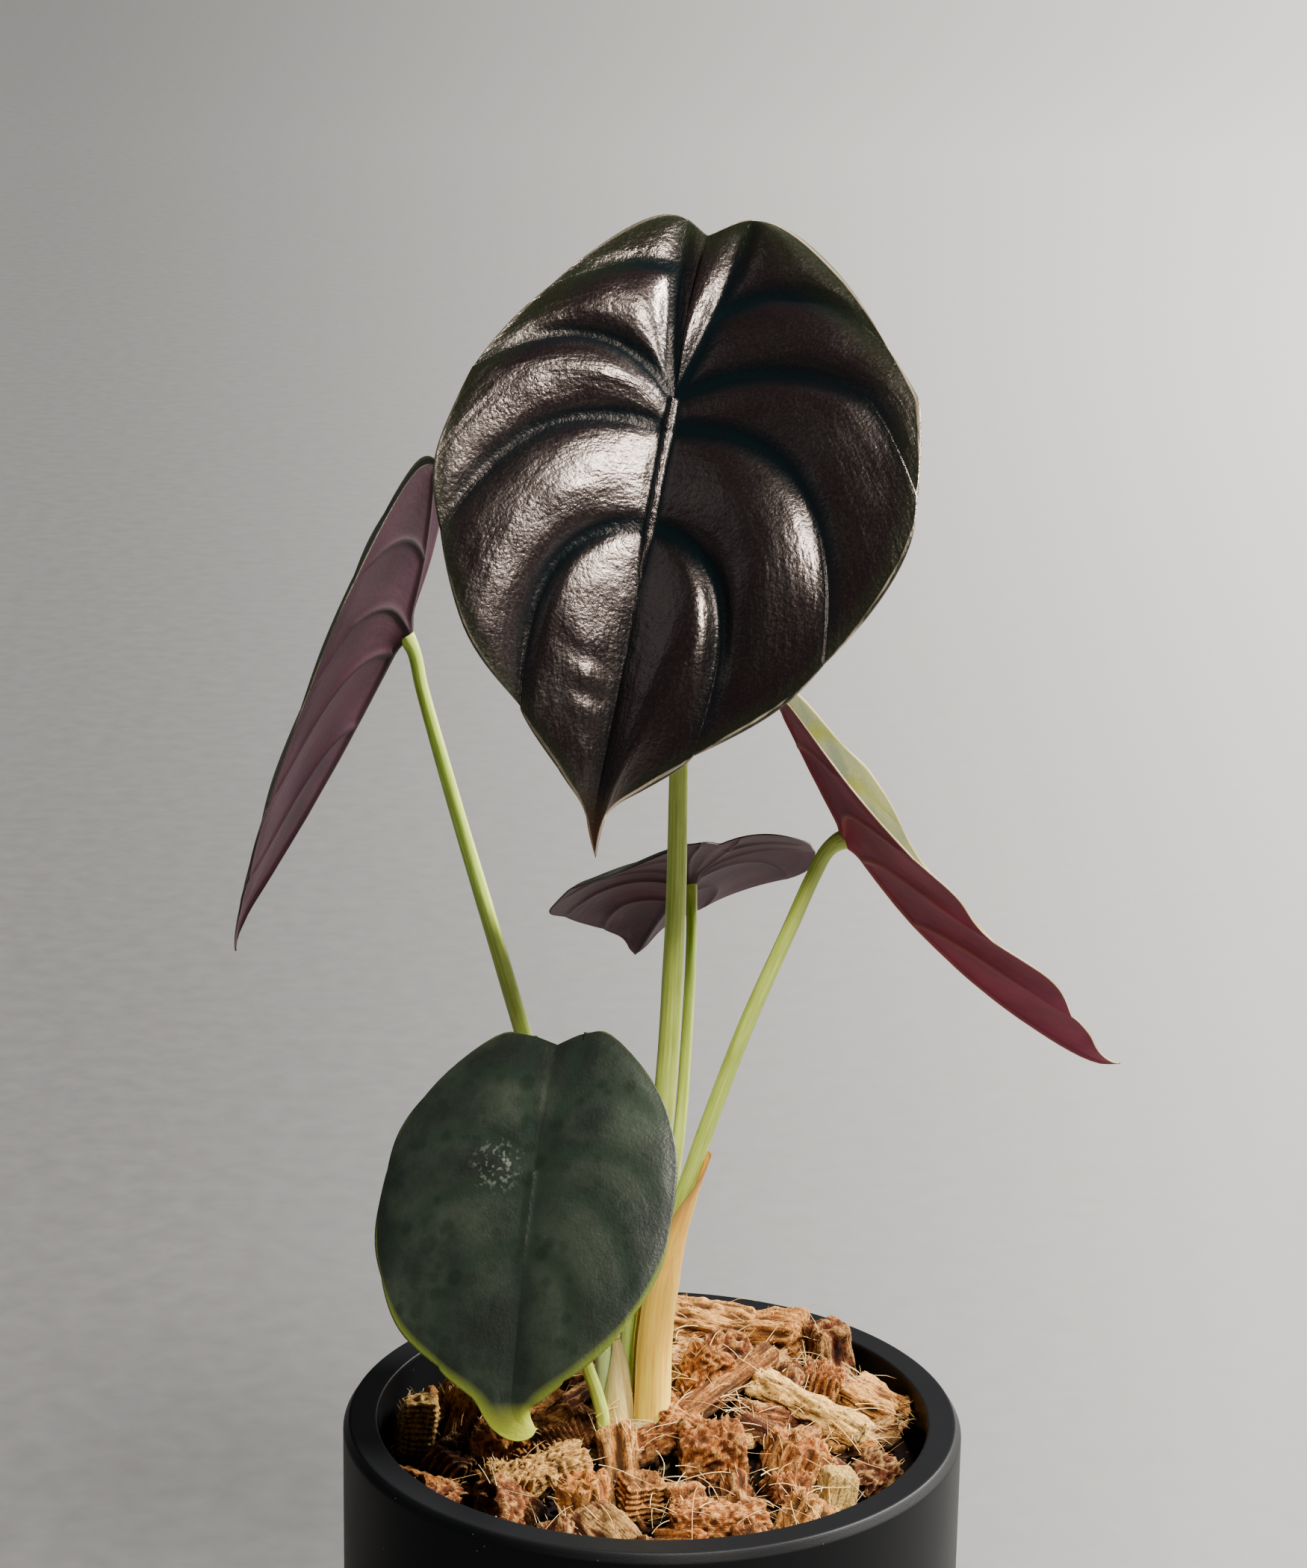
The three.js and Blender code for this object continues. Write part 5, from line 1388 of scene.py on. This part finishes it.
def blade_finish(
    name, panel, shade, vein, margin, gloss, pebble=0.05, grit=0.06, crease=0.26, reach=(-1, 0.6, 11, 3),
    tint=(255, 255, 255), specular=0.5, tip=None, spots=0.0, dew=None,
):
    """A leaf's upper face: mottled panels, dark veins, a tinted margin with a painted highlight on its edge,
    and a fine pebbled sheen.
    """
    finish = Finish(name)
    mottle = finish.noise(14, 4.0)
    fine = finish.noise(1.1)
    colour = finish.tint(panel, shade, mottle, 0.35, 0.65)
    colour = finish.tint(colour, shade, fine, 0.3, 0.8, 0.0, 0.35)
    colour = finish.tint(colour, vein, finish.value("halo"), 0.15, 1.0, 0.0, 0.75)
    if spots:
        spot = finish.cells(3.4)
        size = finish.noise(9, 1.0)
        spot = finish.math("SUBTRACT", spot, finish.span(size, 0.35, 0.65, 0.0, 0.35))
        round_spot = finish.span(spot, 0, 0.25, 1, 0)
        colour = finish.mix(finish.times(round_spot, spots), colour, shade)
    if dew is not None:
        gap = finish.vectors("LENGTH", finish.vectors("SUBTRACT", finish.place(), dew), output="Value")
        drop = finish.span(finish.noise(1.1, 1.0), 0.55, 0.7, 0, 0.28)
        drop = finish.times(drop, finish.span(gap, 1, 6.5, 1, 0))
        colour = finish.mix(drop, colour, (190, 194, 184))
    down = finish.value("down")
    width = finish.span(down, *reach)
    rim = finish.span(finish.math("DIVIDE", finish.value("edge"), width), 0.02, 1.0, 0.85, 0.0)
    colour = finish.mix(rim, colour, margin)
    if tip is not None:
        colour = finish.tint(colour, tip, down, 0.84, 0.98)
    # Painted highlight: a thin pale rim along the margin's edge, where light catches it.
    thin = finish.times(finish.span(finish.value("edge"), 0.05, 0.35, 1, 0), finish.value("pale"))
    colour = finish.mix(thin, colour, (190, 176, 150))
    pores = finish.noise(0.55, 2.0)
    wrinkles = finish.noise((2.2, 9, 50), 3.0, 0.6, finish.grain())
    open_face = finish.span(finish.value("halo"), 0.3, 0.8, 1.0, 0.0)
    normal = finish.bump(finish.times(wrinkles, open_face), crease)
    normal = finish.bump(pores, pebble, finish.bump(fine, grit, normal))
    rough = finish.span(mottle, 0.3, 0.7, gloss - 0.04, gloss + 0.06)
    rough = finish.math("ADD", rough, finish.span(pores, 0.35, 0.7, -0.03, 0.06))
    dull = finish.span(finish.value("halo"), 0.25, 0.8, specular, 0.1 * specular)
    return finish.done(
        Base_Color=colour, Roughness=rough, Normal=normal, Specular_IOR_Level=dull, Specular_Tint=tint,
    )


def under_finish(name, face, shade, vein):
    """A leaf's lower face: smooth, with fine raised veins of their own colour."""
    finish = Finish(name)
    mottle = finish.noise(11)
    fine = finish.noise(0.8)
    colour = finish.tint(face, shade, mottle, 0.3, 0.7)
    colour = finish.tint(colour, shade, fine, 0.3, 0.8, 0.0, 0.3)
    colour = finish.tint(colour, vein, finish.value("vein"), 0.2, 0.9, 0.0, 0.8)
    nerves = finish.noise((1.6, 14, 50), 2.0, source=finish.grain())
    nerves = finish.times(nerves, finish.span(finish.value("halo"), 0.3, 0.8, 1.0, 0.0))
    normal = finish.bump(fine, 0.05, finish.bump(nerves, 0.1))
    return finish.done(Base_Color=colour, Roughness=0.55, Normal=normal, Specular_IOR_Level=0.18)


def petiole_finish():
    finish = Finish("petiole_green")
    grain = finish.grain()
    stripes = finish.noise((0.28, 0.28, 24), source=grain)
    blotch = finish.noise((1.2, 1.2, 7), 2.0, source=grain)
    colour = finish.tint((156, 178, 58), (200, 214, 108), stripes, 0.32, 0.68)
    colour = finish.tint(colour, (136, 148, 48), blotch, 0.45, 0.75, 0, 0.5)
    pale = finish.times(finish.span(finish.value("run"), 6, 38, 0.9, 0), finish.value("pale"))
    colour = finish.mix(pale, colour, (196, 220, 166))
    return finish.done(
        Base_Color=colour, Roughness=0.42, Normal=finish.bump(stripes, 0.06), Subsurface_Weight=0.5,
        Subsurface_Scale=0.003, Subsurface_Radius=(0.7, 1.0, 0.3),
    )


def sheath_finish(name, low, high, streak, rim):
    """A drying leaf base: long fine streaks, lighter below, with a dark thin edge."""
    finish = Finish(name)
    grain = finish.grain()
    streaks = finish.noise((0.3, 0.3, 30), 4.0, source=grain)
    blotch = finish.noise((1.6, 1.6, 9), source=grain)
    colour = finish.mix(finish.value("up"), low, high)
    colour = finish.tint(colour, streak, streaks, 0.42, 0.72, 0, 0.7)
    colour = finish.tint(colour, streak, blotch, 0.5, 0.8, 0, 0.45)
    dark = finish.times(finish.span(finish.value("edge"), 0.1, 1.1, 0.8, 0), finish.value("up"))
    colour = finish.mix(dark, colour, rim)
    return finish.done(
        Base_Color=colour, Roughness=0.55, Normal=finish.bump(streaks, 0.12), Subsurface_Weight=0.6,
        Subsurface_Scale=0.004, Subsurface_Radius=(1.0, 0.7, 0.3),
    )


def coir_finish():
    """Husk from dark bark to pale pith, straw-coloured or orange; its pores dark, partly its own colour and
    partly painted shade; painted shade in the gaps and painted highlights on its crests.
    """
    finish = Finish("coir_husk")
    grain = finish.grain()
    tone = finish.value("tone")
    straw = finish.ramp(
        tone, (0.0, (60, 36, 22)), (0.3, (128, 78, 38)), (0.6, (186, 122, 60)), (0.8, (218, 158, 82)),
        (1.0, (255, 214, 122)),
    )
    rust = finish.ramp(
        tone, (0.0, (66, 26, 12)), (0.3, (128, 64, 24)), (0.6, (182, 102, 36)), (0.8, (212, 134, 54)),
        (1.0, (240, 178, 96)),
    )
    patch = finish.noise(4, 2.0, source=grain)
    warm = finish.math("ADD", finish.value("warm"), finish.span(patch, 0.3, 0.7, -0.25, 0.25))
    light = finish.tint(straw, rust, warm, 0, 1)
    dark = finish.mix(0.9, light, (30, 12, 6))
    fibres = finish.noise((3.5, 0.35, 0.35), 4.0, 0.65, grain)
    grit = finish.noise((0.7, 0.6, 0.6), 4.0, 0.7, grain)
    share = finish.math("ADD", finish.span(fibres, 0.4, 0.58, 0, 0.5), finish.span(grit, 0.4, 0.58, 0, 0.5))
    # Painted shade: where the relief is low, the pores' dark takes over; that dark is partly the husk's own
    # fibres.
    share = finish.times(share, finish.span(finish.value("relief"), 0.1, 0.8, 0.1, 1.2))
    colour = finish.mix(share, dark, light)
    # Painted highlight: pale cream on the raised crests, where light catches them.
    crest_highlight = finish.times(finish.span(finish.value("relief"), 0.75, 1, 0, 0.35), share)
    colour = finish.mix(crest_highlight, colour, (255, 210, 128))
    # Painted shade, darkest deep in the gaps of the heap
    colour = finish.tint(colour, (12, 5, 3), finish.value("sunk"), 0.3, 0.9, 0, 0.94)
    height = finish.math("ADD", fibres, finish.times(grit, 0.8))
    normal = finish.bump(height, 0.9)
    return finish.done(Base_Color=colour, Roughness=0.9, Normal=normal, Specular_IOR_Level=0.2)


def fibre_finish():
    finish = Finish("coir_fibre")
    colour = finish.ramp(
        finish.value("tone"), (0.0, (104, 48, 20)), (0.35, (176, 106, 48)), (0.7, (228, 180, 100)),
        (1.0, (255, 236, 180)),
    )
    return finish.done(Base_Color=colour, Roughness=0.6)


def pot_finish():
    finish = Finish("pot_black")
    cloud = finish.noise(30)
    specks = finish.cells(1.9)
    size = finish.noise(7, 1.0)
    dust = finish.math("LESS_THAN", specks, finish.span(size, 0.5, 0.85, 0.0, 0.11))
    colour = finish.mix(cloud, (3, 4, 5), (6, 7, 9))
    colour = finish.mix(finish.times(dust, 0.55), colour, (150, 148, 144))
    # Painted light: the rim's flat top is painted lighter, where the light catches it.
    top = finish.span(finish.part(finish.place(), "Z"), POT_HEIGHT - 1, POT_HEIGHT - 0.1)
    colour = finish.mix(top, colour, (17, 18, 20))
    fine = finish.noise(0.35, 2.0)
    return finish.done(
        Base_Color=colour, Roughness=finish.span(cloud, 0.3, 0.7, 0.42, 0.5), Normal=finish.bump(fine, 0.02),
        Specular_IOR_Level=0.12,
    )


def crown_finish():
    finish = Finish("crown_brown")
    rough = finish.noise((1.2, 1.2, 0.6), 4.0)
    colour = finish.tint((92, 66, 38), (150, 140, 84), rough, 0.35, 0.65)
    return finish.done(Base_Color=colour, Roughness=0.85, Normal=finish.bump(rough, 0.4))


# Assembly

def make_plant():
    main_top = blade_finish(
        "main_top", (18, 10, 12), (9, 6, 7), (3, 17, 20), (20, 25, 13), 0.25,
        pebble=0.035, grit=0.08, tint=(255, 236, 226), specular=1.0, tip=(40, 23, 15),
    )
    # The front leaf's grey-green panel colour is partly its own, partly a painted sheen.
    front_top = blade_finish(
        "front_top", (50, 58, 46), (20, 27, 20), (36, 46, 38), (104, 116, 36), 0.42, grit=0.04, crease=0.08,
        reach=(0.15, 0.95, 0.12, 2.4), specular=0.35, tip=(150, 158, 40), spots=0.45, dew=FRONT_DEW,
    )
    olive_top = blade_finish(
        "olive_top", (72, 74, 18), (40, 46, 14), (80, 80, 26), (150, 130, 80), 0.55,
        reach=(-1, 0.6, 1.4, 1), specular=0.15,
    )
    green_top = blade_finish("green_top", (24, 27, 20), (16, 20, 15), (12, 22, 20), (34, 38, 26), 0.4)
    mauve = under_finish("mauve_under", (54, 26, 38), (40, 19, 29), (22, 8, 15))
    # The right leaf's underside is painted brighter and redder than the others': partly its own red, partly a
    # painted glow of light shining through it from behind.
    backlit_maroon = under_finish("backlit_maroon_under", (138, 50, 78), (108, 38, 60), (154, 88, 78))
    dusk = under_finish("dusk_under", (80, 48, 60), (62, 36, 48), (34, 14, 24))
    make_blade("main", main_top, mauve, "blade_dark")
    make_blade("front", front_top, mauve, "blade_green")
    make_blade("left", green_top, mauve, "blade_mauve")
    make_blade("right", olive_top, backlit_maroon, "blade_maroon")
    make_blade("back", green_top, dusk, "blade_mauve")
    green = petiole_finish()
    for index, name in enumerate(PETIOLES):
        make_petiole(name, 10 + index % 2, green)
    tan = sheath_finish("tan_sheath", (255, 214, 84), (250, 176, 72), (210, 126, 40), (96, 58, 56))
    grey = sheath_finish("grey_sheath", (196, 176, 100), (200, 182, 124), (136, 112, 62), (120, 98, 66))
    make_sheath("tall", tan, "sheath_tan")
    make_sheath("short", grey, "sheath_grey")


def make_potful():
    make_pot(pot_finish())
    make_crown(crown_finish())
    husk = coir_finish()
    blocks = chip_blocks()
    make_bed(husk)
    make_chips(blocks, husk)
    make_crumbs(husk)
    make_fibres(blocks, fibre_finish())


make_camera()
make_stage()
make_lights()
make_plant()
make_potful()
